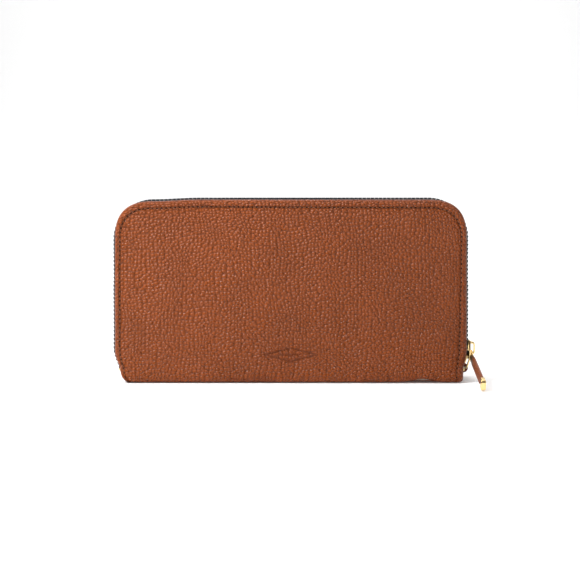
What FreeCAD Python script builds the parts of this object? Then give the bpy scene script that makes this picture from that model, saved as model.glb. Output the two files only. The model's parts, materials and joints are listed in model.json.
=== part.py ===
import FreeCAD, Part
import math
import os

# Zip around wallet, standing on its spine.  Millimetres.
# Frame: +X along the spine to the slider's end, -Y out of the front cover, +Z up to the long zip side.
# Origin: centre of the spine's flat underside.

V = FreeCAD.Vector

# ---- driving dimensions -------------------------------------------------------------------------
WIDTH = 195.0             # over the zip teeth, along X
HEIGHT = 100.5            # over the zip teeth, along Z
THICKNESS = 24.0          # over both covers, along Y
CORNER_RADIUS = 18.0      # top corners of the covers
EDGE_ROUND = 3.0          # rounding of a cover's outer rim
LEATHER = 1.4             # outer leather
FOAM = 1.0                # padding behind the cover leather
BOARD = 1.0               # stiffener behind the padding
LINING = 0.6              # lining and inner panels
SLOT_LEATHER = 0.5        # one layer of a card slot
SLOT_COUNT = 4            # card slots one above the other, on each half
SLOT_STEP = 10.0          # height that each slot shows above the next
SLOT_DROP = 15.8          # top of the highest slot, below the leather's top edge
SLOT_SIDE = 2.0           # bare card panel beside the slots
SLOT_FLOOR = 1.5          # bare card panel under the slots
SLOT_MIDDLE = 0.8         # half the strip between the two columns of slots
BILL_GAP = 1.1            # note compartment behind the card panel
FOLD_HEIGHT = 3.0         # height of the fold between the spine and each cover
FOLD_GAP = 0.1            # slit along the fold, so that a cover can turn

ZIP_PROUD = 2.2           # how far the teeth stand out past the leather edge
CHAIN_THICKNESS = 2.5     # teeth, measured square to the tape
CHAIN_HALF = 2.2          # half the width of the closed teeth
TAPE = 0.7                # zip tape thickness
RIM_REACH = 6.2           # distance of a cover's free edge from the middle plane
TAPE_ROOT = 9.0           # distance to which the tape is sewn under the rim
STOP_LENGTH = 2.0
STOP_WIDTH = 1.4          # along Y, from the tape's edge
STOP_RISE = 2.2           # lower end of a stop, above the fold
STOP_INSET = 0.15         # a stop is this much thinner than the teeth, on each face
CHAIN_START = 7.5         # height at which the teeth begin, left side
TEETH_GAP = 0.05          # from each row of teeth to the middle plane
TAPE_FOLD_GAP = 0.4       # tape ends this far above the fold

GROOVE_INSET = 3.4        # stitched groove, from the leather edge
GROOVE_WIDTH = 1.0
GROOVE_DEPTH = 0.3
THREAD_WIDTH = 0.5
THREAD_DEPTH = 0.25

MARK_LENGTH = 28.0        # pressed lozenge on the front cover
MARK_HEIGHT = 4.4
MARK_LINE = 0.7
MARK_DEPTH = 0.25
MARK_Z = 16.0

SLIDER_LENGTH = 11.0
SLIDER_NOSE_HALF = 1.6    # half widths, along Y
SLIDER_MOUTH_HALF = 4.0
SLIDER_TAIL_HALF = 3.3
SLIDER_NOSE = 2.6         # from the slider's lower end to its full width
SLIDER_SHOULDER = 6.0     # from the lower end to where it narrows
SLIDER_CORNER = 0.8
SLIDER_PLATE = 0.8
SLIDER_PLAY = 0.25        # between the teeth and a slider plate
SLIDER_Z = 11.2           # lower end of the slider when the zip is shut
POST_START = 0.4          # wedge between the plates, above the slider's lower end
POST_WIDEST = 1.6
POST_HALF = 1.4
POST_LENGTH = 4.0
POST_PLAY = 0.6           # from the wedge to the first shut teeth
LIP_WIDTH = 0.7           # edges that guide the tape
LIP_PLAY = 0.45
LIP_START = 5.5
LIP_END = 0.8
BRIDGE_START = 2.8        # above the slider's lower end
BRIDGE_HALF = 0.9
BRIDGE_LENGTH = 7.2
BRIDGE_BAR = 0.8
BRIDGE_LEG = 1.2
BRIDGE_ROUND = 1.8
BRIDGE_HOLE_ROUND = 0.9

LINK_INNER = 2.35         # inside radius of the round link
LINK_WIRE = 0.55          # wire radius
LINK_PLAY = 0.12          # leather loop around the link's wire
LINK_OVER_FACE = 0.35     # from the slider's face to the link's wire
LINK_UNDER_BAR = 0.65     # from the wire to the bridge's bar
LINK_OVER_LEG = 0.35      # from the wire to the bridge's lower leg
PULL_LENGTH = 38.0        # from the link's centre to the tip
PULL_WIDTH = 5.0
PULL_NECK = 3.8
PULL_NECK_END = 4.6       # distances below the link's centre
PULL_FULL_WIDTH = 8.0
PULL_LOOP_WALL = 0.33     # leather between the link's wire and the strap's end
PULL_THICKNESS = 1.7
CAP_LENGTH = 5.0
CAP_WALL = 0.35
TIP_CLEARANCE = 0.3       # under the tip when the wallet stands

TAB_RADIUS = 2.8          # leather loop that holds the strap ring
TAB_WIDTH = 5.0
TAB_Y = 8.8
TAB_WALL = 0.6            # leather round the outside of the ring's bar
TAB_OVERHANG = 0.1        # tab reaches this far below the fold
RING_WIRE = 0.5
RING_HALF = 4.35          # centre line, half the width
RING_BEND = 1.2
RING_HEIGHT = 9.15        # centre line, from the bar to the top of the arch
RING_PLAY = 0.2
RING_LEAN = 20.0          # degrees outward from upright
RING_STANDOFF = 2.2       # bar centre from the leather edge

COIN_SIDE_GAP = 11.3      # from the coin pocket's side to the leather edge
COIN_DROP = 23.8          # from its top to the leather's top edge
COIN_HALF_DEPTH = 2.5
COIN_TAPE_INSET = 1.0     # from the pocket's side to its tape's end
COIN_CHAIN_HALF = 0.9
COIN_CHAIN = 1.4
COIN_TAPE = 0.5
COIN_CHAIN_INSET = 12.0   # from the pocket's left side to its first teeth
COIN_SLIDER_INSET = 22.0  # from its right side to the tail of the shut slider
COIN_SLIDER_LENGTH = 8.0
COIN_SLIDER_HALF = 2.7
COIN_SLIDER_PLATE = 0.7
COIN_SLIDER_ROUND = 1.6
COIN_UNDER_PLAY = 0.2     # from the under plate to the pocket's walls
COIN_POST = 2.0
COIN_POST_HALF = 0.6
COIN_POST_END = 0.5       # from the wedge to the slider's mouth end
COIN_POST_PLAY = 0.4
COIN_STOP = 1.8
COIN_STOP_HALF = 0.5
COIN_STOP_GAP = 2.0       # from the shut slider to the end stops
COIN_STOP_SPLIT = 0.2
COIN_PIN_OFFSET = 4.8     # from the slider's tail to the pull's pin
COIN_PIN_RADIUS = 0.45
COIN_PIN_RISE = 0.8
COIN_BRIDGE_HALF = 0.7
COIN_BRIDGE_RISE = 2.3
COIN_BRIDGE_BAR = 0.7
COIN_BRIDGE_LEG = 0.8
COIN_BRIDGE_ROUND = 0.9
COIN_BRIDGE_BACK = 2.5    # opening, from the pin towards the tail
COIN_BRIDGE_AHEAD = 0.9   # opening, from the pin towards the mouth
COIN_PULL_LENGTH = 15.0
COIN_PULL_HALF = 2.2
COIN_PULL_HALF_THICK = 0.4
COIN_PULL_ROUND = 1.6
COIN_PULL_PLAY = 0.4      # window in the pull, round the bridge
COIN_PULL_WINDOW = 4.2
COIN_PULL_HOLE = 0.9
COIN_PULL_HOLE_INSET = 2.6

GUSSET_DEPTH = 18.0       # depth of the folded side gussets
GUSSET_WALL = 0.5
GUSSET_BOTTOM = 8.0
GUSSET_PLAY = 0.2         # from a gusset to the nearest card slot
GUSSET_PANEL_GAP = 0.05   # from its flange to the card panel
GUSSET_FOLD = 3.0         # thickness of the folded edge, along X

PANEL_MARGIN = 4.0        # card panel inside the lining's edge
STACK_GAP = 0.2           # boards and lining inside the tape
STACK_RISE = 0.3          # boards and lining above the fold
SPINE_END_GAP = 3.0       # spine board and lining inside the leather's ends
SPINE_ROUND_WALL = 0.2    # upright left above the spine's rounded edge

# ---- sizes worked out from them -----------------------------------------------------------------
HALF = WIDTH / 2 - ZIP_PROUD              # leather edge, left and right
TOP = HEIGHT - ZIP_PROUD                  # leather edge, top
FACE = THICKNESS / 2                      # outer face of a cover
CHAIN_CENTRE = ZIP_PROUD - CHAIN_THICKNESS / 2
FOAM_FACE = FACE - LEATHER
BOARD_FACE = FOAM_FACE - FOAM
LINING_FACE = BOARD_FACE - BOARD
PANEL_FACE = LINING_FACE - LINING - BILL_GAP
SLOT_FACE = PANEL_FACE - LINING
STACK_INSET = LEATHER + TAPE + STACK_GAP
PANEL_INSET = STACK_INSET + PANEL_MARGIN
SLOT_TOP = TOP - SLOT_DROP
FOLD_Z = FOLD_HEIGHT + FOLD_GAP
STACK_Z = FOLD_Z + STACK_RISE
SPINE_ROUND = FOLD_HEIGHT - SPINE_ROUND_WALL
CHAIN_X = HALF + CHAIN_CENTRE             # centre of the teeth on the right side
PLATE_IN = CHAIN_THICKNESS / 2 + SLIDER_PLAY
PLATE_OUT = PLATE_IN + SLIDER_PLATE
SLIDER_FACE = CHAIN_X + PLATE_OUT
BRIDGE_Z = SLIDER_Z + BRIDGE_START
BRIDGE_HOLE = LINK_OVER_FACE + 2 * LINK_WIRE + LINK_UNDER_BAR
BRIDGE_FACE = SLIDER_FACE + BRIDGE_HOLE + BRIDGE_BAR
LINK_RADIUS = LINK_INNER + LINK_WIRE
PIVOT_Z = BRIDGE_Z + BRIDGE_LEG + LINK_OVER_LEG + LINK_WIRE
LINK_X = SLIDER_FACE + LINK_OVER_FACE + LINK_WIRE
LINK_Z = PIVOT_Z - LINK_RADIUS
RING_X = HALF + RING_STANDOFF
RING_Z = FOLD_HEIGHT + TAB_RADIUS - TAB_OVERHANG
COIN_HALF_WIDTH = HALF - COIN_SIDE_GAP
COIN_TOP = TOP - COIN_DROP
COIN_START = COIN_CHAIN_INSET - COIN_HALF_WIDTH
COIN_SLIDER_X = COIN_HALF_WIDTH - COIN_SLIDER_INSET
COIN_CHAIN_Z = COIN_TOP + COIN_TAPE / 2
COIN_GAP = COIN_CHAIN / 2 + SLIDER_PLAY   # from the coin teeth's middle to a slider plate
COIN_POST_X = COIN_SLIDER_X + COIN_SLIDER_LENGTH - COIN_POST_END - COIN_POST
COIN_FACE = COIN_CHAIN_Z + COIN_GAP + COIN_SLIDER_PLATE
COIN_PIN_X = COIN_SLIDER_X + COIN_PIN_OFFSET
COIN_PIN_Z = COIN_FACE + COIN_PIN_RISE

FRONT = -1
BACK = 1


# ---- building blocks ----------------------------------------------------------------------------
def box(x0, x1, y0, y1, z0, z1):
    low = V(min(x0, x1), min(y0, y1), min(z0, z1))
    return Part.makeBox(abs(x1 - x0), abs(y1 - y0), abs(z1 - z0), low)


def cylinder_y(x, z, radius, y0, y1):
    return Part.makeCylinder(radius, y1 - y0, V(x, y0, z), V(0, 1, 0))


def polygon(points):
    return Part.Face(Part.makePolygon(points + [points[0]]))


def cover_outline(inset, z_low, y):
    """Face in an XZ plane: straight sides, round top corners, cut straight at z_low."""
    half = HALF - inset
    top = TOP - inset
    radius = CORNER_RADIUS - inset
    low_right = V(half, y, z_low)
    up_right = V(half, y, top - radius)
    top_right = V(half - radius, y, top)
    top_left = V(radius - half, y, top)
    up_left = V(-half, y, top - radius)
    low_left = V(-half, y, z_low)
    bow = radius * math.sqrt(0.5)
    mid_right = V(half - radius + bow, y, top - radius + bow)
    mid_left = V(radius - half - bow, y, top - radius + bow)
    edges = [
        Part.makeLine(low_left, low_right),
        Part.makeLine(low_right, up_right),
        Part.Arc(up_right, mid_right, top_right).toShape(),
        Part.makeLine(top_right, top_left),
        Part.Arc(top_left, mid_left, up_left).toShape(),
        Part.makeLine(up_left, low_left),
    ]
    return Part.Face(Part.Wire(edges))


def slab(side, inset, z_low, near, far):
    """Plate of the cover's outline between two distances from the middle plane."""
    y0 = min(side * near, side * far)
    return cover_outline(inset, z_low, y0).extrude(V(0, far - near, 0))


def band(side, outer, inner, z_low, near, far):
    """Strip that runs up the left side, across the top and down the right side."""
    hole = slab(side, inner, z_low - 1.0, near - 1.0, far + 1.0)
    return slab(side, outer, z_low, near, far).cut(hole)


def round_outer_rim(shape, side, face, radius, z_low):
    rim = []
    for edge in shape.Edges:
        on_face = all(abs(v.Y - side * face) < 1e-6 for v in edge.Vertexes)
        at_bottom = all(abs(v.Z - z_low) < 1e-6 for v in edge.Vertexes)
        if on_face and not at_bottom:
            rim.append(edge)
    return shape.makeFillet(radius, rim)


# ---- the two halves -----------------------------------------------------------------------------
def cover(side):
    outer = slab(side, 0.0, FOLD_Z, RIM_REACH, FACE)
    outer = round_outer_rim(outer, side, FACE, EDGE_ROUND, FOLD_Z)
    inner_z = FOLD_Z - 1.0
    inner = slab(side, LEATHER, inner_z, RIM_REACH - 1.0, FOAM_FACE)
    inner = round_outer_rim(inner, side, FOAM_FACE, EDGE_ROUND - LEATHER, inner_z)
    floor = FACE - GROOVE_DEPTH
    groove = band(side, GROOVE_INSET, GROOVE_INSET + GROOVE_WIDTH, FOLD_Z - 1.0, floor, FACE + 1.0)
    return outer.cut(inner).cut(groove)


def pressed_mark():
    """Plain lozenge outline, to be cut into the front cover."""
    def lozenge(grow):
        half_x = MARK_LENGTH / 2 + grow
        half_z = MARK_HEIGHT / 2 + grow
        corners = [V(-half_x, -FACE - 1, MARK_Z), V(0, -FACE - 1, MARK_Z + half_z)]
        corners += [V(half_x, -FACE - 1, MARK_Z), V(0, -FACE - 1, MARK_Z - half_z)]
        return polygon(corners).extrude(V(0, 1 + MARK_DEPTH, 0))
    return lozenge(0.0).cut(lozenge(-MARK_LINE))


def stitching(side):
    start = GROOVE_INSET + (GROOVE_WIDTH - THREAD_WIDTH) / 2
    floor = FACE - GROOVE_DEPTH
    return band(side, start, start + THREAD_WIDTH, FOLD_Z, floor, floor + THREAD_DEPTH)


def card_slot(side, layer):
    """One layer of card slots: two pockets side by side."""
    far = SLOT_FACE - layer * SLOT_LEATHER
    near = far - SLOT_LEATHER
    top = SLOT_TOP - layer * SLOT_STEP
    outer_x = HALF - PANEL_INSET - SLOT_SIDE
    low = STACK_Z + SLOT_FLOOR
    pockets = [box(s * SLOT_MIDDLE, s * outer_x, side * near, side * far, low, top) for s in (-1, 1)]
    return Part.makeCompound(pockets)


def zip_tape(side):
    out = -(CHAIN_CENTRE + TAPE / 2)
    root = LEATHER + TAPE
    step = RIM_REACH - TAPE
    low = FOLD_Z + TAPE_FOLD_GAP
    flat = band(side, out, out + TAPE, low, CHAIN_HALF, RIM_REACH)
    shoulder = band(side, out, root, low, step, RIM_REACH)
    sewn = band(side, LEATHER, root, low, step, TAPE_ROOT)
    return flat.fuse([shoulder, sewn]).removeSplitter()


def zip_teeth(side):
    """One row of teeth; on the right it ends inside the shut slider, above the slider's post."""
    row = band(side, -ZIP_PROUD, CHAIN_THICKNESS - ZIP_PROUD, CHAIN_START, TEETH_GAP, CHAIN_HALF)
    end = SLIDER_Z + POST_LENGTH + POST_PLAY
    return row.cut(box(0, WIDTH, -CHAIN_HALF - 1, CHAIN_HALF + 1, 0, end))


def zip_stops(side):
    low = FOLD_Z + STOP_RISE
    half = CHAIN_THICKNESS / 2 - STOP_INSET
    near = CHAIN_HALF - STOP_WIDTH
    pieces = []
    for s in (-1, 1):
        x = s * CHAIN_X
        pieces.append(box(x - half, x + half, side * near, side * CHAIN_HALF, low, low + STOP_LENGTH))
    return Part.makeCompound(pieces)


def build_half(side, name):
    parts = {}
    parts[name + "_cover"] = cover(side)
    parts[name + "_stitching"] = stitching(side)
    parts[name + "_foam"] = slab(side, EDGE_ROUND, STACK_Z, BOARD_FACE, FOAM_FACE)
    parts[name + "_board"] = slab(side, STACK_INSET, STACK_Z, LINING_FACE, BOARD_FACE)
    parts[name + "_lining"] = slab(side, STACK_INSET, STACK_Z, LINING_FACE - LINING, LINING_FACE)
    parts[name + "_card_panel"] = slab(side, PANEL_INSET, STACK_Z, SLOT_FACE, PANEL_FACE)
    for layer in range(SLOT_COUNT):
        parts["%s_card_slot_%d" % (name, layer + 1)] = card_slot(side, layer)
    parts[name + "_zip_tape"] = zip_tape(side)
    parts[name + "_zip_teeth"] = zip_teeth(side)
    parts[name + "_zip_stops"] = zip_stops(side)
    return parts


# ---- spine --------------------------------------------------------------------------------------
def spine_leather():
    """Channel of leather under the wallet: flat underside, round long edges, turned up to the folds."""
    block = box(-HALF, HALF, -FACE, FACE, 0, FOLD_HEIGHT)
    low = [e for e in block.Edges if all(v.Z < 1e-6 for v in e.Vertexes)]
    block = block.makeFillet(SPINE_ROUND, low)
    inner = box(-HALF - 1, HALF + 1, -FOAM_FACE, FOAM_FACE, LEATHER, FOLD_HEIGHT + 1)
    long_edges = []
    for edge in inner.Edges:
        if all(abs(v.Z - LEATHER) < 1e-6 for v in edge.Vertexes) and edge.Length > THICKNESS * 1.5:
            long_edges.append(edge)
    inner = inner.makeFillet(SPINE_ROUND - LEATHER, long_edges)
    return block.cut(inner)


def build_spine():
    parts = {}
    long_half = HALF - SPINE_END_GAP
    wide_half = FOAM_FACE - (SPINE_ROUND - LEATHER)
    board_top = FOLD_HEIGHT - LINING
    parts["spine_leather"] = spine_leather()
    parts["spine_board"] = box(-long_half, long_half, -wide_half, wide_half, LEATHER, board_top)
    parts["spine_lining"] = box(-long_half, long_half, -wide_half, wide_half, board_top, FOLD_HEIGHT)
    return parts


# ---- coin pocket --------------------------------------------------------------------------------
def coin_wall(side):
    inner = COIN_HALF_DEPTH - LINING
    return box(-COIN_HALF_WIDTH, COIN_HALF_WIDTH, side * inner, side * COIN_HALF_DEPTH, FOLD_HEIGHT, COIN_TOP)


def coin_edge():
    """Strip that closes the pocket's two sides and bottom."""
    inner = COIN_HALF_DEPTH - LINING
    outer = box(-COIN_HALF_WIDTH, COIN_HALF_WIDTH, -inner, inner, FOLD_HEIGHT, COIN_TOP)
    x = COIN_HALF_WIDTH - LINING
    return outer.cut(box(-x, x, -inner, inner, FOLD_HEIGHT + LINING, COIN_TOP + 1))


def coin_tape(side):
    x = COIN_HALF_WIDTH - COIN_TAPE_INSET
    return box(-x, x, side * COIN_CHAIN_HALF, side * COIN_HALF_DEPTH, COIN_TOP, COIN_TOP + COIN_TAPE)


def coin_teeth():
    low = COIN_CHAIN_Z - COIN_CHAIN / 2
    high = COIN_CHAIN_Z + COIN_CHAIN / 2
    return box(COIN_START, COIN_POST_X - COIN_POST_PLAY, -COIN_CHAIN_HALF, COIN_CHAIN_HALF, low, high)


def coin_stops():
    low = COIN_CHAIN_Z - COIN_STOP_HALF
    high = COIN_CHAIN_Z + COIN_STOP_HALF
    edge = COIN_CHAIN_HALF
    start = box(COIN_START - COIN_STOP, COIN_START, -edge, edge, low, high)
    right = COIN_SLIDER_X + COIN_SLIDER_LENGTH + COIN_STOP_GAP
    ends = [box(right, right + COIN_STOP, s * COIN_STOP_SPLIT, s * edge, low, high) for s in (-1, 1)]
    return Part.makeCompound([start] + ends)


def coin_slider():
    """Plates above and below the teeth, joined by the wedge that parts them."""
    x0 = COIN_SLIDER_X
    x1 = COIN_SLIDER_X + COIN_SLIDER_LENGTH
    low = COIN_CHAIN_Z - COIN_GAP
    high = COIN_CHAIN_Z + COIN_GAP
    half = COIN_SLIDER_HALF
    top = box(x0, x1, -half, half, high, high + COIN_SLIDER_PLATE)
    upright = [e for e in top.Edges if abs(e.Length - COIN_SLIDER_PLATE) < 1e-6]
    top = top.makeFillet(COIN_SLIDER_ROUND, upright)
    under_half = COIN_HALF_DEPTH - LINING - COIN_UNDER_PLAY
    under = box(x0, x1, -under_half, under_half, low - COIN_SLIDER_PLATE, low)
    post = box(COIN_POST_X, COIN_POST_X + COIN_POST, -COIN_POST_HALF, COIN_POST_HALF, low, high)
    return top.fuse([under, post]).removeSplitter()


def coin_bridge():
    half = COIN_BRIDGE_HALF
    top = COIN_FACE + COIN_BRIDGE_RISE
    x0 = COIN_PIN_X - COIN_BRIDGE_BACK
    x1 = COIN_PIN_X + COIN_BRIDGE_AHEAD
    arch = box(x0 - COIN_BRIDGE_LEG, x1 + COIN_BRIDGE_LEG, -half, half, COIN_FACE, top)
    ends = [e for e in arch.Edges if all(v.Z > top - 1e-6 for v in e.Vertexes)]
    corners = [e for e in ends if abs(e.Length - 2 * half) < 1e-6]
    arch = arch.makeFillet(COIN_BRIDGE_ROUND, corners)
    return arch.cut(box(x0, x1, -half - 1, half + 1, COIN_FACE, top - COIN_BRIDGE_BAR))


def coin_pull():
    """Flat metal tab, lying back along the shut teeth, with a window around the bridge."""
    thick = COIN_PULL_HALF_THICK
    half = COIN_PULL_HALF
    tail = COIN_PIN_X - COIN_PULL_LENGTH
    plate = box(tail, COIN_PIN_X, -half, half, COIN_PIN_Z - thick, COIN_PIN_Z + thick)
    upright = [e for e in plate.Edges if abs(e.Length - 2 * thick) < 1e-6]
    ends = [e for e in upright if all(v.X < tail + 1e-6 for v in e.Vertexes)]
    plate = plate.makeFillet(COIN_PULL_ROUND, ends)
    window_half = COIN_BRIDGE_HALF + COIN_PULL_PLAY
    low = COIN_PIN_Z - 1
    high = COIN_PIN_Z + 1
    window = box(COIN_PIN_X - COIN_PULL_WINDOW, COIN_PIN_X + 1, -window_half, window_half, low, high)
    hole = Part.makeCylinder(COIN_PULL_HOLE, 2, V(tail + COIN_PULL_HOLE_INSET, 0, low), V(0, 0, 1))
    pin = cylinder_y(COIN_PIN_X, COIN_PIN_Z, COIN_PIN_RADIUS, -half, half)
    return plate.cut(window).cut(hole).fuse(pin)


def side_gusset(end, side):
    """Folded leather between the coin pocket and a half: a V that opens towards the wallet's end."""
    outer = HALF - PANEL_INSET
    fold = outer - GUSSET_DEPTH
    near = COIN_HALF_DEPTH
    far = SLOT_FACE - SLOT_COUNT * SLOT_LEATHER - GUSSET_PLAY
    middle = (near + far) / 2
    panel = SLOT_FACE - GUSSET_PANEL_GAP
    points = [(outer, near), (fold, middle), (outer - GUSSET_WALL, far), (outer - GUSSET_WALL, panel)]
    points += [(outer, panel), (outer, far - GUSSET_WALL), (fold + GUSSET_FOLD, middle)]
    points += [(outer, near + GUSSET_WALL)]
    face = polygon([V(end * x, side * y, GUSSET_BOTTOM) for x, y in points])
    return face.extrude(V(0, 0, COIN_TOP - GUSSET_BOTTOM))


def build_coin_pocket():
    parts = {}
    parts["coin_pocket_front"] = coin_wall(FRONT)
    parts["coin_pocket_back"] = coin_wall(BACK)
    parts["coin_pocket_edge"] = coin_edge()
    parts["coin_zip_tape_front"] = coin_tape(FRONT)
    parts["coin_zip_tape_back"] = coin_tape(BACK)
    parts["coin_zip_teeth"] = coin_teeth()
    parts["coin_zip_stops"] = coin_stops()
    parts["coin_slider"] = coin_slider()
    parts["coin_slider_bridge"] = coin_bridge()
    parts["coin_pull"] = coin_pull()
    for side, side_name in ((FRONT, "front"), (BACK, "back")):
        for end, end_name in ((-1, "left"), (1, "right")):
            parts["gusset_%s_%s" % (side_name, end_name)] = side_gusset(end, side)
    return parts


# ---- outer slider and its pull ------------------------------------------------------------------
def slider_plate(n0, n1):
    tail = SLIDER_Z + SLIDER_LENGTH
    right = [(SLIDER_NOSE_HALF, SLIDER_Z), (SLIDER_MOUTH_HALF, SLIDER_Z + SLIDER_NOSE)]
    right += [(SLIDER_MOUTH_HALF, SLIDER_Z + SLIDER_SHOULDER), (SLIDER_TAIL_HALF, tail)]
    left = [(-y, z) for y, z in reversed(right)]
    face = polygon([V(CHAIN_X + n0, y, z) for y, z in right + left])
    plate = face.extrude(V(n1 - n0, 0, 0))
    corners = [e for e in plate.Edges if abs(e.Length - (n1 - n0)) < 1e-6]
    return plate.makeFillet(SLIDER_CORNER, corners)


def zip_slider():
    """Plates outside and inside the teeth, the wedge that parts the teeth, and lips along the tape."""
    outer = slider_plate(PLATE_IN, PLATE_OUT)
    inner = slider_plate(-PLATE_OUT, -PLATE_IN)
    x = CHAIN_X - PLATE_IN
    low = SLIDER_Z + POST_START
    wide = low + POST_WIDEST
    wedge = [V(x, 0, low), V(x, POST_HALF, wide), V(x, 0, SLIDER_Z + POST_LENGTH), V(x, -POST_HALF, wide)]
    post = polygon(wedge).extrude(V(2 * PLATE_IN, 0, 0))
    lips = []
    lip_in = SLIDER_TAIL_HALF - LIP_WIDTH
    slot = TAPE / 2 + LIP_PLAY
    lip_low = SLIDER_Z + LIP_START
    lip_high = SLIDER_Z + SLIDER_LENGTH - LIP_END
    for y_side in (-1, 1):
        for n in (-1, 1):
            x0 = CHAIN_X + n * slot
            x1 = CHAIN_X + n * PLATE_IN
            lips.append(box(x0, x1, y_side * lip_in, y_side * SLIDER_TAIL_HALF, lip_low, lip_high))
    return outer.fuse([inner, post] + lips).removeSplitter()


def far_ends(block, x, length):
    """Edges of a box that lie in its face at x, along Y."""
    at_x = [e for e in block.Edges if all(v.X > x - 1e-6 for v in e.Vertexes)]
    return [e for e in at_x if abs(e.Vertexes[0].Y - e.Vertexes[1].Y) > length - 1e-6]


def slider_bridge():
    """Arch on the slider's face that the round link passes under."""
    half = BRIDGE_HALF
    arch = box(SLIDER_FACE, BRIDGE_FACE, -half, half, BRIDGE_Z, BRIDGE_Z + BRIDGE_LENGTH)
    arch = arch.makeFillet(BRIDGE_ROUND, far_ends(arch, BRIDGE_FACE, 2 * half))
    z0 = BRIDGE_Z + BRIDGE_LEG
    z1 = BRIDGE_Z + BRIDGE_LENGTH - BRIDGE_LEG
    depth = SLIDER_FACE + BRIDGE_HOLE
    hole = box(SLIDER_FACE, depth, -half - 1, half + 1, z0, z1)
    return arch.cut(hole.makeFillet(BRIDGE_HOLE_ROUND, far_ends(hole, depth, 2 * half)))


def rest_swing():
    """How far the pull is swung forward, in degrees from hanging, so that its tip stands on the surface."""
    half_width = PULL_WIDTH / 2 + CAP_WALL
    reach = math.hypot(PULL_LENGTH, half_width)
    drop = LINK_Z - TIP_CLEARANCE
    return math.degrees(math.acos(drop / reach) + math.atan2(half_width, PULL_LENGTH))


def pull_link():
    return Part.makeTorus(LINK_RADIUS, LINK_WIRE, V(LINK_X, 0, LINK_Z), V(1, 0, 0))


def pull_strip(half_neck, half_width, start, end, half_thick):
    """Hanging strip below the link's centre, narrow at the link."""
    x = LINK_X - half_thick
    right = [(half_neck, start), (half_neck, PULL_NECK_END), (half_width, PULL_FULL_WIDTH), (half_width, end)]
    left = [(-y, d) for y, d in reversed(right)]
    face = polygon([V(x, y, LINK_Z - d) for y, d in right + left])
    return face.extrude(V(2 * half_thick, 0, 0))


def build_pull():
    half_thick = PULL_THICKNESS / 2
    strap_end = PULL_LENGTH - CAP_WALL * 2
    loop = LINK_WIRE + LINK_PLAY
    strap_start = LINK_RADIUS - loop - PULL_LOOP_WALL
    strip = pull_strip(PULL_NECK / 2, PULL_WIDTH / 2, strap_start, strap_end, half_thick)
    tunnel = Part.makeTorus(LINK_RADIUS, loop, V(LINK_X, 0, LINK_Z), V(1, 0, 0))
    strap = strip.cut(tunnel)
    half_width = PULL_WIDTH / 2 + CAP_WALL
    cap = box(LINK_X - half_thick - CAP_WALL, LINK_X + half_thick + CAP_WALL, -half_width, half_width,
              LINK_Z - PULL_LENGTH, LINK_Z - PULL_LENGTH + CAP_LENGTH)
    cap = cap.cut(strap)
    turn = rest_swing()
    for piece in (strap, cap):
        piece.rotate(V(LINK_X, 0, LINK_Z), V(1, 0, 0), -turn)
    return {"pull_link": pull_link(), "pull_strap": strap, "pull_end_cap": cap}


def build_slider():
    return {"zip_slider": zip_slider(), "zip_slider_bridge": slider_bridge()}


# ---- strap ring and its tab ---------------------------------------------------------------------
def strap_tab():
    y0 = TAB_Y - TAB_WIDTH / 2
    y1 = TAB_Y + TAB_WIDTH / 2
    centre = RING_X + RING_WIRE + RING_PLAY + TAB_WALL - TAB_RADIUS
    loop = cylinder_y(centre, RING_Z, TAB_RADIUS, y0, y1)
    loop = loop.cut(box(centre - 2 * TAB_RADIUS, HALF, y0 - 1, y1 + 1, 0, 3 * TAB_RADIUS))
    return loop.cut(cylinder_y(RING_X, RING_Z, RING_WIRE + RING_PLAY, y0 - 1, y1 + 1))


def strap_ring():
    """D-shaped ring: straight bar through the tab, two uprights and a round arch."""
    def at(y, up):
        return V(RING_X, TAB_Y + y, RING_Z + up)
    b = RING_BEND
    k = b * (1 - math.sqrt(0.5))
    shoulder = RING_HEIGHT - RING_HALF
    bow = RING_HALF * math.sqrt(0.5)
    edges = [
        Part.makeLine(at(0, 0), at(RING_HALF - b, 0)),
        Part.Arc(at(RING_HALF - b, 0), at(RING_HALF - k, k), at(RING_HALF, b)).toShape(),
        Part.makeLine(at(RING_HALF, b), at(RING_HALF, shoulder)),
        Part.Arc(at(RING_HALF, shoulder), at(bow, shoulder + bow), at(0, RING_HEIGHT)).toShape(),
    ]
    section = Part.Wire(Part.makeCircle(RING_WIRE, at(0, 0), V(0, 1, 0)))
    right = Part.Wire(edges).makePipeShell([section], True, True)
    left = right.mirror(at(0, 0), V(0, 1, 0))
    ring = right.fuse(left).removeSplitter()
    ring.rotate(at(0, 0), V(0, 1, 0), RING_LEAN)
    return ring


# ---- write one file per piece -------------------------------------------------------------------
def main():
    parts = {}
    parts.update(build_spine())
    parts.update(build_half(FRONT, "front"))
    parts.update(build_half(BACK, "back"))
    parts["front_cover"] = parts["front_cover"].cut(pressed_mark())
    parts.update(build_coin_pocket())
    parts.update(build_slider())
    parts.update(build_pull())
    parts["strap_tab"] = strap_tab()
    parts["strap_ring"] = strap_ring()
    os.makedirs("parts", exist_ok=True)
    for name, shape in parts.items():
        if not shape.isValid() or not shape.Solids:
            raise RuntimeError("bad solid: " + name)
        shape.exportStep("parts/%s.step" % name)
    print(len(parts), "pieces; pull swung forward %.2f degrees" % rest_swing())
    print("slider slides from z %.2f; fold at y %.2f z %.2f" % (SLIDER_Z, FACE, FOLD_HEIGHT))
    print("pull hinge x %.3f z %.3f; link centre z %.3f" % (LINK_X, PIVOT_Z, LINK_Z))
    print("ring bar x %.3f z %.3f; coin pin x %.3f z %.3f" % (RING_X, RING_Z, COIN_PIN_X, COIN_PIN_Z))


main()
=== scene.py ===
import json
import math

import bmesh
import bpy
import numpy as np
from bpy.props import FloatProperty, FloatVectorProperty, PointerProperty
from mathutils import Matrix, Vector, noise


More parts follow.
